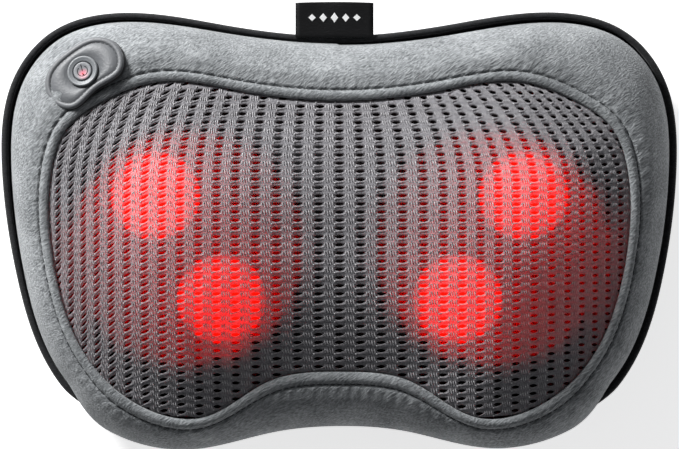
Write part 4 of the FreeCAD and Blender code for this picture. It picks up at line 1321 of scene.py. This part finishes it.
@dataclass
class BackCover:
    """The black woven back: flat underneath, bulging to the seam, with a slot for the zip and the inlet."""

    form: PillowForm
    rounding: float = 0.020
    bulge_level: float = 0.030
    top: float = 0.0448
    wall: float = 0.0018
    sag: float = 0.0012

    def inset_at(self, angle: float) -> tuple[float, float]:
        """Return the inset and the level of the section at an angle round the bottom edge."""
        return self.rounding * (1 - math.sin(angle)), self.bulge_level * (1 - math.cos(angle))

    def build(self, material: bpy.types.Material) -> bpy.types.Object:
        """Sew the back as one closed shell with an inner wall, its slots left to the zip and the inlet.

        Args:
            material: Its finish.

        Returns:
            The piece.
        """
        form = self.form
        edge = form.cover[::2]
        rim = outward(form.cover)[::2]
        dark = form.band_share(edge[:, 1])
        along = run_along(edge)
        outer = []
        for step in range(10):
            share = 0.12 + 0.88 * step / 9
            reach = (edge - rim * self.rounding) * share
            outer.append(np.column_stack([reach, np.full(len(edge), 0.0)]))
        for step in range(1, 13):
            angle = math.radians(90 * step / 12)
            inset, level = self.inset_at(angle)
            fold = self.sag * math.sin(2 * angle) * np.sin(along / 0.031 + 1.3 * np.sin(along / 0.083))
            extra = (1 - dark) * 0.0032 * (step / 12)
            flat = edge - rim * (inset + 0.0005 + np.abs(fold) + extra)[:, None]
            outer.append(np.column_stack([flat, np.full(len(edge), level)]))
        for step in range(1, 6):
            share = step / 5
            inset = 0.0006 + 0.0014 * share**2 + (1 - dark) * 0.0032
            flat = edge - rim * (inset)[:, None]
            level = self.bulge_level + share * (self.top - self.bulge_level)
            outer.append(np.column_stack([flat, np.full(len(edge), level)]))
        inner = []
        for points in (outer[9], outer[13], outer[17], outer[21], outer[-1]):
            under = points.copy()
            under[:, :2] -= rim * self.wall
            under[:, 2] += np.where(under[:, 2] < 0.004, self.wall, 0)
            inner.append(under)
        inner[0][:, 2] = self.wall
        core = outer[0].copy()
        core[:, 2] = self.wall
        loop = outer + inner[::-1] + [core]
        piece = mesh_object(
            "woven_back", np.concatenate(loop), ring_faces(len(loop), len(edge), close_rows=True)
        )
        work = bmesh.new()
        work.from_mesh(piece.data)
        work.verts.ensure_lookup_table()
        count, last = len(edge), (len(loop) - 1) * len(edge)
        low = work.verts.new((0, 0, 0))
        high = work.verts.new((0, 0, self.wall))
        work.verts.ensure_lookup_table()
        ring_gap = [(work.verts[i], work.verts[last + i]) for i in range(count)]
        rim_points = {point for pair in ring_gap for point in pair}
        for face in [face for face in work.faces if all(point in rim_points for point in face.verts)]:
            work.faces.remove(face)
        for i in range(count):
            k = (i + 1) % count
            work.faces.new((ring_gap[i][0], ring_gap[k][0], low))
            work.faces.new((ring_gap[k][1], ring_gap[i][1], high))
        bmesh.ops.recalc_face_normals(work, faces=work.faces)
        work.to_mesh(piece.data)
        work.free()
        self.open_slots(piece)
        piece.data.shade_smooth()
        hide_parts("back_cover")
        dress(piece, material, "casing")
        return piece

    def open_slots(self, piece: bpy.types.Object) -> None:
        """Cut the zip slot and the inlet's hole through the back.

        Args:
            piece: The piece.
        """
        tapes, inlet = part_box("zip_tapes"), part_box("power_inlet")
        middle = (tapes[0] + tapes[1]) / 2
        half = (tapes[1] - tapes[0]) / 2
        slot = bpy.data.meshes.new("slot")
        work = bmesh.new()
        bmesh.ops.create_cube(work, size=2.0)
        bmesh.ops.scale(work, vec=(half.x + 0.0008, half.y * 0.62, 0.006), verts=work.verts)
        bmesh.ops.translate(work, vec=(middle.x, middle.y, 0), verts=work.verts)
        work.to_mesh(slot)
        work.free()
        hole = bpy.data.meshes.new("hole")
        work = bmesh.new()
        radius = (inlet[1].x - inlet[0].x) / 2 + 0.0004
        bmesh.ops.create_cone(work, cap_ends=True, segments=40, radius1=radius, radius2=radius, depth=0.024)
        bmesh.ops.rotate(work, matrix=Matrix.Rotation(math.pi / 2, 3, "X"), verts=work.verts)
        centre = (inlet[0] + inlet[1]) / 2
        bmesh.ops.translate(work, vec=(centre.x, inlet[0].y, centre.z), verts=work.verts)
        work.to_mesh(hole)
        work.free()
        for mesh in (slot, hole):
            tool = bpy.data.objects.new(mesh.name, mesh)
            bpy.context.scene.collection.objects.link(tool)
            modifier = piece.modifiers.new(mesh.name, "BOOLEAN")
            modifier.object, modifier.operation, modifier.solver = tool, "DIFFERENCE", "EXACT"
            plain_mesh(piece)
            bpy.data.objects.remove(tool)


@dataclass
class SeamPiping:
    """The corded piping in the seam between the front and the back."""

    form: PillowForm
    radius: float = 0.0017
    level: float = 0.0450

    def build(self, material: bpy.types.Material) -> bpy.types.Object:
        """Run the piping round the seam, drawn under the plush at the lower lobes.

        Args:
            material: Its finish.

        Returns:
            The piece.
        """
        edge = self.form.cover[::2]
        rim = outward(self.form.cover)[::2]
        dark = self.form.band_share(edge[:, 1])
        along = run_along(edge)
        inset = self.radius + (1 - dark) * 0.0030 - 0.0003 * np.sin(along / 0.039)
        path = np.column_stack([edge - rim * inset[:, None], self.level + 0.0002 * np.sin(along / 0.051)])
        points, faces = tube(path, self.radius, 12, True)
        piece = mesh_object("seam_welt", points, faces)
        turn_outwards(piece)
        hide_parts("seam_piping")
        return dress(piece, material, "casing")


# ------------------------------------------------------------------ label, control pad, foam, zip


@dataclass
class WovenLabel:
    """The black satin label: a ribbon folded at the top, with a row of woven lozenges."""

    ribbon: float = 0.0003
    gap: float = 0.00025
    bow: float = 0.0004
    lozenges: int = 5
    lozenge_pitch: float = 0.0056

    def build(self, satin: bpy.types.Material, thread: bpy.types.Material) -> list:
        """Fold the ribbon and weave its motif.

        Args:
            satin: The ribbon.
            thread: The thread.

        Returns:
            The pieces.
        """
        low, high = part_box("top_label")
        middle, width = (low.x + high.x) / 2, high.x - low.x
        level, length = (low.z + high.z) / 2, high.y - low.y
        reach = self.gap + self.ribbon / 2
        spine = [(t * (length - reach), reach) for t in np.linspace(0, 1, 10)]
        spine += [(length - reach + reach * math.sin(a), reach * math.cos(a))
                  for a in np.linspace(0, math.pi, 9)[1:-1]]
        spine += [((1 - t) * (length - reach), -reach) for t in np.linspace(0, 1, 10)]
        spine = np.array(spine)
        along = np.gradient(spine, axis=0)
        along /= np.linalg.norm(along, axis=1)[:, None]
        across = np.column_stack([along[:, 1], -along[:, 0]])
        outer, inner = spine - across * self.ribbon / 2, spine + across * self.ribbon / 2
        loop = np.concatenate([outer, inner[::-1]])
        columns = 17
        points = []
        for column in range(columns):
            share = column / (columns - 1) * 2 - 1
            for y, z in loop:
                lift = 0.00025 * math.sin(share * 5) * y / length
                points.append((middle + share * width / 2,
                               low.y + y - self.bow * share**2 * (y / length) ** 2,
                               level + z * 0.95 + lift))
        size = len(loop)
        faces = ring_faces(columns, size)
        faces += [tuple(range(size))[::-1], tuple((columns - 1) * size + i for i in range(size))]
        piece = mesh_object("satin_label", points, faces)
        turn_outwards(piece)
        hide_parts("top_label")
        dress(piece, satin, "casing")
        motif = self.motif(thread, middle, low.y + length * 0.56, level + reach + self.ribbon / 2)
        return [piece, motif]

    def motif(self, thread: bpy.types.Material, middle: float, y: float, level: float) -> bpy.types.Object:
        """Weave the row of lozenges on the label's front.

        Args:
            thread: The thread.
            middle: The label's middle across.
            y: The height of the row up the pillow.
            level: The level that it lies on.

        Returns:
            The piece.
        """
        points, faces = [], []
        for step in range(self.lozenges):
            offset = step - (self.lozenges - 1) / 2
            half_w, half_h = 0.0019, 0.0026 - 0.0004 * abs(offset)
            x = middle + offset * self.lozenge_pitch
            start = len(points)
            for z, grow in ((level - 0.0001, 1.0), (level + 0.00018, 0.92)):
                points += [(x + half_w * grow, y, z), (x, y + half_h * grow, z), (x - half_w * grow, y, z),
                           (x, y - half_h * grow, z)]
            faces += [
                tuple(start + i for i in f) for f in (
                    (3, 2, 1, 0), (4, 5, 6, 7), (0, 1, 5, 4), (1, 2, 6, 5), (2, 3, 7, 6), (3, 0, 4, 7)
                )
            ]
        piece = mesh_object("label_motif", points, faces, smooth=False)
        turn_outwards(piece)
        return dress(piece, thread, "casing")


@dataclass
class ControlPad:
    """The leathery button pad on the upper left of the border, and the power button in it."""

    centre: tuple = (-0.1255, 0.0745, 0.0780)
    bearing_deg: float = 135.0
    tilt_deg: float = 22.0
    turn_deg: float = 38.0
    half_length: float = 0.0215
    half_width: float = 0.0145
    opening: float = 0.00515
    symbol_turn_deg: float = 70.0

    def __post_init__(self) -> None:
        """Work out the pad's place, and its outline with a hollow side towards the face."""
        bearing = math.radians(self.bearing_deg)
        axis = Vector((-math.sin(bearing), math.cos(bearing), 0))
        lean = Matrix.Rotation(math.radians(self.tilt_deg), 4, axis)
        self.place = Matrix.Translation(self.centre) @ lean @ Matrix.Rotation(
            math.radians(self.turn_deg), 4, "Z"
        )
        shares = [(-1, 0.10), (-0.72, 0.80), (0, 1), (0.72, 0.74), (1, -0.05), (0.70, -0.84), (0, -0.80),
                  (-0.70, -0.80)]
        self.outline = closed_curve(np.array(shares) * (self.half_length, self.half_width), 16)

    def laid(self, points: np.ndarray) -> np.ndarray:
        """Carry points drawn on the pad's back face to the pillow."""
        place = np.array(self.place)
        return np.asarray(points) @ place[:3, :3].T + place[:3, 3]

    def inset(self, distance: float, level: float) -> np.ndarray:
        """Return the outline drawn in by a distance, at a level over the back face."""
        flat = self.outline - outward(self.outline) * distance
        crown = -0.0009 * (flat[:, 0] / self.half_length) ** 2
        return np.column_stack([flat, level + crown])

    def toward(self, radius: float, share: float, level: float) -> np.ndarray:
        """Return a ring between the inner face's edge and the round opening."""
        rim = self.inset(0.0036, level)
        angles = np.arctan2(rim[:, 1], rim[:, 0])
        ring = np.column_stack([radius * np.cos(angles), radius * np.sin(angles), np.full(len(rim), level)])
        return rim * (1 - share) + ring * share

    def ringed(self, name: str, rings: list, material: bpy.types.Material,
               body: str = "casing") -> bpy.types.Object:
        """Close a row of rings into a piece and put it on the pad."""
        points = self.laid(np.concatenate(rings))
        piece = mesh_object(name, points, ring_faces(len(rings), len(rings[0]), close_rows=True))
        turn_outwards(piece)
        return dress(piece, material, body)

    def lathe(self, name: str, profile: list, material: bpy.types.Material, body: str = "casing",
              solid: bool = False) -> bpy.types.Object:
        """Turn a profile round the button's axis.

        Args:
            name: The piece's name.
            profile: Radius and level of each corner, in order.
            material: Its finish.
            body: The body that it moves with.
            solid: Whether the profile starts and ends on the axis.

        Returns:
            The piece.
        """
        angles = np.linspace(0, math.tau, 48, endpoint=False)
        inner = profile[1:-1] if solid else profile
        rings = [np.column_stack([r * np.cos(angles), r * np.sin(angles), np.full(48, z)]) for r, z in inner]
        if not solid:
            return self.ringed(name, rings, material, body)
        points = np.concatenate(rings + [[[0, 0, profile[0][1]], [0, 0, profile[-1][1]]]])
        faces = ring_faces(len(rings), 48)
        first, last = len(points) - 2, len(points) - 1
        base = (len(rings) - 1) * 48
        for side in range(48):
            beside = (side + 1) % 48
            faces.append((first, side, beside))
            faces.append((last, base + beside, base + side))
        piece = mesh_object(name, self.laid(points), faces)
        turn_outwards(piece)
        return dress(piece, material, body)

    def build(self, leather: bpy.types.Material, painted_shade_side: bpy.types.Material, trim: bpy.types.Material,
              button: bpy.types.Material, ink: bpy.types.Material, lamp: bpy.types.Material,
              stitcher: Topstitch, thread: bpy.types.Material) -> list:
        """Make the pad's skin, its side wall coloured near black as painted shade, its stitching, the bezel,
        the button and its symbol.

        Args:
            leather: The skin's finish.
            painted_shade_side: The side wall's finish, coloured near black as painted shade.
            trim: The ring's finish.
            button: The key's finish.
            ink: The symbol's finish.
            lamp: The lens's finish.
            stitcher: What lays the stitches.
            thread: The thread.

        Returns:
            The pieces.
        """
        face = [
            self.inset(0.0, 0.0016), self.inset(0.0, 0.0024), self.inset(0.0003, 0.0030),
            self.inset(0.0010, 0.0034), self.inset(0.0022, 0.0034), self.inset(0.0027, 0.0031),
            self.inset(0.0029, 0.0027), self.inset(0.0032, 0.0028), self.inset(0.0036, 0.0032),
            self.toward(0.0078, 0.4, 0.0033), self.toward(0.0084, 1.0, 0.0032),
            self.toward(0.0080, 1.0, 0.0026), self.toward(self.opening, 1.0, 0.0026),
            self.toward(self.opening, 1.0, 0.0016)
        ]
        skin = self.ringed("pad_skin", face, leather)
        # The pad's side wall is coloured near black: painted shade under the pad's top.
        edge = [self.inset(0.0001, 0.0015), self.inset(-0.0002, 0.0010), self.inset(-0.0003, 0.0002),
                self.inset(0.0, -0.0006), self.toward(self.opening, 1.0, -0.0002),
                self.toward(self.opening, 1.0, 0.0015)]
        base = self.ringed("pad_edge", edge, painted_shade_side)
        seam = self.laid(self.inset(0.0030, 0.00285))
        stitches = dress(stitcher.lay("pad_stitches", seam, thread), thread, "casing")
        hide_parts("control_pad")
        rim = self.lathe(
            "bezel_ring",
            [
                (0.0052, 0.0027), (0.0079, 0.0027), (0.0079, 0.0040), (0.0077, 0.0045), (0.0072, 0.0047),
                (0.0067, 0.0045), (0.0056, 0.0041), (0.0052, 0.0040)
            ],
            trim
        )
        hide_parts("button_bezel")
        key = self.lathe(
            "power_key",
            [
                (0, -0.0030), (0.0061, -0.0030), (0.0061, -0.0018), (0.0048, -0.0018), (0.0048, 0.0040),
                (0.0046, 0.0044), (0.0042, 0.0045), (0.0030, 0.00425), (0.0012, 0.0041), (0, 0.0041)
            ],
            button, "button", True
        )
        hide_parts("power_button")
        return [skin, base, stitches, rim, key, self.symbol(ink), self.lens(lamp)]

    def symbol(self, ink: bpy.types.Material) -> bpy.types.Object:
        """Engrave the ring and bar of the power symbol, as dark lines on the key.

        Args:
            ink: The symbol's finish.

        Returns:
            The piece.
        """
        turn = math.radians(self.symbol_turn_deg)
        gap = math.radians(34)
        arc = [(0.0026 * math.cos(a), 0.0026 * math.sin(a), 0.00425)
               for a in np.linspace(turn + gap, turn + math.tau - gap, 34)]
        bar = [(r * math.cos(turn), r * math.sin(turn), 0.0042 + 0.00004 * (r / 0.001) ** 2 * 0.6)
               for r in np.linspace(0.0002, 0.0036, 7)]
        points, faces = [], []
        for path in (arc, bar):
            made, made_faces = tube(np.array(path), 0.00021, 6, False)
            faces += [tuple(len(points) + i for i in f) for f in made_faces]
            points += made.tolist()
        piece = mesh_object("power_symbol", self.laid(points), faces)
        turn_outwards(piece)
        return dress(piece, ink, "button")

    def lamp_place(self) -> Vector:
        """Return where the indicator lamp shows on the key."""
        turn = math.radians(self.symbol_turn_deg + 180)
        return self.place @ Vector((0.0016 * math.cos(turn), 0.0016 * math.sin(turn), 0.0042))

    def lens(self, lamp: bpy.types.Material) -> bpy.types.Object:
        """Make the small red lens of the indicator lamp.

        Args:
            lamp: The lens's finish.

        Returns:
            The piece.
        """
        work = bmesh.new()
        bmesh.ops.create_uvsphere(work, u_segments=16, v_segments=10, radius=0.00055)
        bmesh.ops.translate(work, vec=self.lamp_place(), verts=work.verts)
        mesh = bpy.data.meshes.new("indicator_lens")
        work.to_mesh(mesh)
        work.free()
        mesh.shade_smooth()
        piece = bpy.data.objects.new("indicator_lens", mesh)
        bpy.context.scene.collection.objects.link(piece)
        return dress(piece, lamp, "button")


@dataclass
class FoamFilling:
    """The cut foam inside the cover, its corners rounded as foam's are."""

    voxel: float = 0.004

    def build(self, node: str, material: bpy.types.Material) -> bpy.types.Object:
        """Soften one foam block.

        Args:
            node: The block's name in the model.
            material: The foam.

        Returns:
            The softened block.
        """
        copy = frame["nodes"][node].data.copy()
        copy.name = node + "_soft"
        piece = bpy.data.objects.new(node + "_soft", copy)
        bpy.context.scene.collection.objects.link(piece)
        turn_outwards(piece)
        remesh = piece.modifiers.new("cut", "REMESH")
        remesh.mode, remesh.voxel_size = "VOXEL", self.voxel
        eased = piece.modifiers.new("eased", "SMOOTH")
        eased.factor, eased.iterations = 0.5, 4
        plain_mesh(piece)
        piece.data.shade_smooth()
        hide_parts(node)
        dress(piece, material, "casing")
        return piece


@dataclass
class BackZip:
    """The coil zip of the back: woven tapes and a row of coil turns on each."""

    turn_pitch: float = 0.0016
    coil_gap: float = 0.00045
    wire: float = 0.00042

    def build(self, tape: bpy.types.Material, coil: bpy.types.Material) -> list:
        """Weave the tapes and wind the coils.

        Args:
            tape: The tapes' finish.
            coil: The coils' finish.

        Returns:
            The pieces.
        """
        low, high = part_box("zip_tapes")
        rows_low, rows_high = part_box("zip_teeth")
        middle = (low.y + high.y) / 2
        points, faces = [], []
        for side in (-1, 1):
            near = rows_high.y - middle
            far = high.y - middle
            columns = np.linspace(low.x, high.x, 61)
            ys = np.linspace(near - 0.0004, far, 6)
            start = len(points)
            for x in columns:
                ring = [(x, middle + side * y,
                         0.0013 + 0.00018 * math.sin(x * 900) * (y - near) / (far - near) + dz)
                        for dz, order in ((0.0003, ys), (-0.0003, ys[::-1])) for y in order]
                points += ring
            faces += [tuple(start + i for i in f) for f in ring_faces(61, 12)]
            faces += [tuple(start + i for i in range(12)),
                      tuple(start + 60 * 12 + i for i in range(12))[::-1]]
        tapes = mesh_object("zip_tape_weave", points, faces)
        turn_outwards(tapes)
        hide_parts("zip_tapes")
        dress(tapes, tape, "casing")
        points, faces = [], []
        level = (rows_low.z + rows_high.z) / 2
        width = (rows_high.y - rows_low.y) / 2
        turns = int((rows_high.x - rows_low.x) / self.turn_pitch)
        for side in (-1, 1):
            inner = self.coil_gap
            half = (width - inner) / 2 - self.wire
            centre = middle + side * (inner + half + self.wire)
            path = []
            for step in range(turns * 10 + 1):
                angle = math.tau * step / 10
                path.append((rows_low.x + 0.001 + step / 10 * self.turn_pitch * 0.98,
                             centre + half * math.cos(angle),
                             level + 0.00042 * math.sin(angle)))
            made, made_faces = tube(np.array(path), self.wire * 0.8, 5, False)
            faces += [tuple(len(points) + i for i in f) for f in made_faces]
            points += made.tolist()
        coils = mesh_object("zip_coils", points, faces)
        turn_outwards(coils)
        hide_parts("zip_teeth")
        return [tapes, dress(coils, coil, "casing")]


# ------------------------------------------------------------------ the mechanism and the studio


@dataclass
class Mechanism:
    """The moulded case, the gear train, the heads and the electrics: kept as modelled, and finished."""

    def finishes(self) -> dict[str, object]:
        """Return the finish of each material slot.

        Returns:
            A finish for each slot.
        """
        return {
            "case_plastic": Moulded("abs_moulded_black", "#26272A", 0.5),
            "zinc_steel": WorkedMetal("steel_zinc_plated", "#B9BCBE", 0.32, 0.3),
            "ground_steel": WorkedMetal("steel_ground", "#A7AAAD", 0.2, 0.15, (1.0, 1.0, 6.0)),
            "bush_plastic": Moulded("acetal_turned_white", "#D9D8D2", 0.35, 0.4, 0.00003),
            "motor_steel": WorkedMetal("steel_rolled_galvanised", "#8F9396", 0.38, 0.5, (1.0, 0.15, 1.0)),
            "dark_plastic": Moulded("nylon_glass_filled_black", "#1C1D1F", 0.55, 0.5, 0.00008),
            "mount_rubber": Moulded("rubber_moulded_black", "#141415", 0.8, 0.5, 0.00006),
            "gear_plastic": Moulded("acetal_gear_natural", "#E4E1D6", 0.3, 0.4, 0.00002, coat=0.1),
            "circuit_board": Moulded("glass_epoxy_board_green", "#1E5B36", 0.35, 0.8, 0.00003, coat=0.3),
            "red_lamp": Moulded("epoxy_lamp_red", "#D3141A", 0.15, 0.6, 0.00001, coat=0.5),
            "copper_ring": WorkedMetal("copper_turned", "#C77A50", 0.25, 0.2, (1.0, 1.0, 5.0)),
            "zip_coil": WorkedMetal("zinc_die_cast_black_nickel", "#3A3B3E", 0.35, 0.3),
            "foam": Moulded("polyurethane_foam_cut", "#2A2A2D", 0.95, 1.4, 0.0006, 0.2),
            "button_plastic": Moulded("abs_moulded_grey", "#85888B", 0.42),
            "pad_trim": Moulded("abs_moulded_trim", "#8A8D90", 0.4),
        }

    def build(self, caps: list[str]) -> int:
        """Finish every node that stays, and the lit caps with their own glow.

        Args:
            caps: The lit caps' names.

        Returns:
            How many nodes were finished.
        """
        made = {slot: finish.build() for slot, finish in self.finishes().items()}
        done = 0
        for part in frame["record"]["subparts"]:
            node = frame["nodes"][part["node"]]
            material = made.get(part["material_slot"], made["dark_plastic"])
            if part["node"] in caps:
                low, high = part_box(part["node"])
                material = LitNodeCap(
                    "polycarbonate_lit_" + part["node"], ((low.x + high.x) / 2, (low.y + high.y) / 2),
                    (high.x - low.x) / 2
                ).build()
            for slot in node.material_slots:
                slot.material = material
            if not node.material_slots:
                node.data.materials.append(material)
            done += 1
        return done


@dataclass
class Studio:
    """The floor, the lights and the camera, looking straight down on the lying pillow."""

    view_width: float = 0.3395
    view_level: float = 0.045
    lens: float = 260.0
    sensor: float = 36.0
    floor_glow: float = 0.7

    def floor(self) -> None:
        """Lay a plain pale floor."""
        piece = mesh_object(
            "floor", [(-6, -6, -0.0005), (6, -6, -0.0005), (6, 6, -0.0005), (-6, 6, -0.0005)], [(0, 1, 2, 3)],
            smooth=False
        )
        material, tree, shader, place = new_material("paper_sweep_white")
        set_shader(shader, "#FAFAFA", roughness=0.9, specular=0.1)
        shader.inputs["Emission Color"].default_value = linear("#FFFFFF")
        shader.inputs["Emission Strength"].default_value = self.floor_glow
        fibre = add_node(tree, "ShaderNodeTexNoise", {"Scale": 400.0}, {"Vector": place})
        bump(tree, shader, fibre.outputs["Fac"], 0.00002)
        piece.data.materials.append(material)

    def light(self, name: str, at: tuple, size: float, power: float, tint: str) -> None:
        """Hang one soft light that looks at the pillow.

        Args:
            name: Its name.
            at: Where it hangs.
            size: Its width.
            power: Its power in watts.
            tint: Its colour as "#rrggbb".
        """
        lamp = bpy.data.lights.new(name, "AREA")
        lamp.shape, lamp.size, lamp.energy, lamp.color = "DISK", size, power, linear(tint)[:3]
        holder = bpy.data.objects.new(name, lamp)
        holder.location = at
        holder.rotation_euler = (Vector((0, 0, 0.05)) - Vector(at)).to_track_quat("-Z", "Y").to_euler()
        bpy.context.scene.collection.objects.link(holder)

    def build(self) -> None:
        """Set up the world, the lights and the camera."""
        world = bpy.data.worlds.new("studio")
        world.use_nodes = True
        sky = world.node_tree.nodes["Background"]
        sky.inputs["Color"].default_value = linear("#F4F6FA")
        sky.inputs["Strength"].default_value = 0.13
        bpy.context.scene.world = world
        bpy.context.scene.view_settings.view_transform = "Standard"
        self.floor()
        self.light("key", (-1.08, 1.30, 0.72), 0.5, 60.0, "#FFFFFF")
        self.light("top", (-0.4, 1.4, 0.9), 0.8, 3.0, "#FFFFFF")
        self.light("fill", (1.4, -0.5, 1.2), 1.4, 0.6, "#F3F6FF")
        camera = bpy.data.cameras.new("camera")
        camera.sensor_width, camera.lens = self.sensor, self.lens
        camera.clip_end = 20
        holder = bpy.data.objects.new("camera", camera)
        holder.location = (0, 0, self.view_level + self.view_width * self.lens / self.sensor)
        bpy.context.scene.collection.objects.link(holder)
        bpy.context.scene.camera = holder


def main() -> None:
    """Build the massager in order, and report each piece."""
    logging.basicConfig(level=logging.INFO, format="%(name)s: %(message)s")
    Studio().build()
    caps = [f"node_{side}_{level}" for side in ("left", "right") for level in ("upper", "lower")]
    LOG.info("finished %d nodes of the mechanism", Mechanism().build(caps))
    form = PillowForm()
    plush = BrushedPlush().build()
    border = PlushBorder(form)
    sewn = [border.build(plush)]
    LOG.info("plush border")
    thread = Moulded("polyester_thread_dark", "#3A3C3E", 0.6, 0.3).build()
    stitcher = Topstitch(form, border)
    stitcher.build(thread)
    LOG.info("topstitch")
    ground = MeshKnit("spacer_mesh_ground", "#838286", "#BDBBC0", 0.24).build()
    # The loops' yarn is coloured near white: partly the yarn's own pale colour, partly painted highlight of
    # glossy yarn.
    bright = MeshKnit("spacer_mesh_loops", "#9C9C9F", "#E4E4E6", 0.15, 0.0, 0.36, 1.4).build()
    rung = MeshKnit("spacer_mesh_rungs", "#6A6A6D", "#AAAAAE", 0.25, 0.0, 0.4, 1.4).build()
    for piece in AirMeshFace(form).build(ground, bright, rung):
        LOG.info("%s: %d faces", piece.name, len(piece.data.polygons))
    Lining(form).build(LiningVeil().build())
    LOG.info("lining")
    sewn.append(
        BackCover(form).build(WovenCloth("polyester_plain_weave_black", "#101112", "#2A2B2D").build())
    )
    StuffedHull(form, border).swell(sewn)
    SeamPiping(form).build(WovenCloth("polyester_welt_black", "#0E0F10", "#2C2D30", 0.6).build())
    LOG.info("back and piping")
    satin = WovenCloth("polyester_satin_black", "#070708", "#141416", 0.5, 0.45, 0.0).build()
    WovenLabel().build(satin, Moulded("rayon_thread_white", "#E8E8E8", 0.6, 0.4, 0.0001).build())
    LOG.info("label")
    pad = ControlPad()
    lamp_spot = pad.lamp_place()
    pad.build(Moulded("pu_leather_grey", "#5C5E61", 0.48, 0.9, 0.00009).build(),
              # The pad's side wall colour below is near black: painted shade.
              Moulded("pu_edge_black", "#141516", 0.6).build(),
              Moulded("abs_moulded_bezel", "#6E7174", 0.38).build(),
              IndicatorGlow("abs_translucent_key", "#6A6C70", lamp_spot).build(),
              Moulded("pad_ink_black", "#1A1B1D", 0.5).build(),
              Moulded("epoxy_indicator_red", "#C0101C", 0.2, coat=0.5).build(),
              Topstitch(form, border, pitch=0.0023, length=0.0015, radius=0.00026), thread)
    LOG.info("control pad")
    foam = FoamFilling()
    cut_foam = Moulded("polyurethane_foam_block", "#2A2A2D", 0.95, 1.4, 0.0006, 0.2).build()
    for node in ("foam_back_pad", "foam_surround", "foam_topper"):
        foam.build(node, cut_foam)
    LOG.info("foam")
    BackZip().build(WovenCloth("polyester_zip_tape_black", "#0C0D0E", "#26272A", 0.6).build(),
                    Moulded("nylon_coil_black", "#18191B", 0.35, 0.4).build())
    LOG.info("zip")


if __name__ == "__main__":
    main()
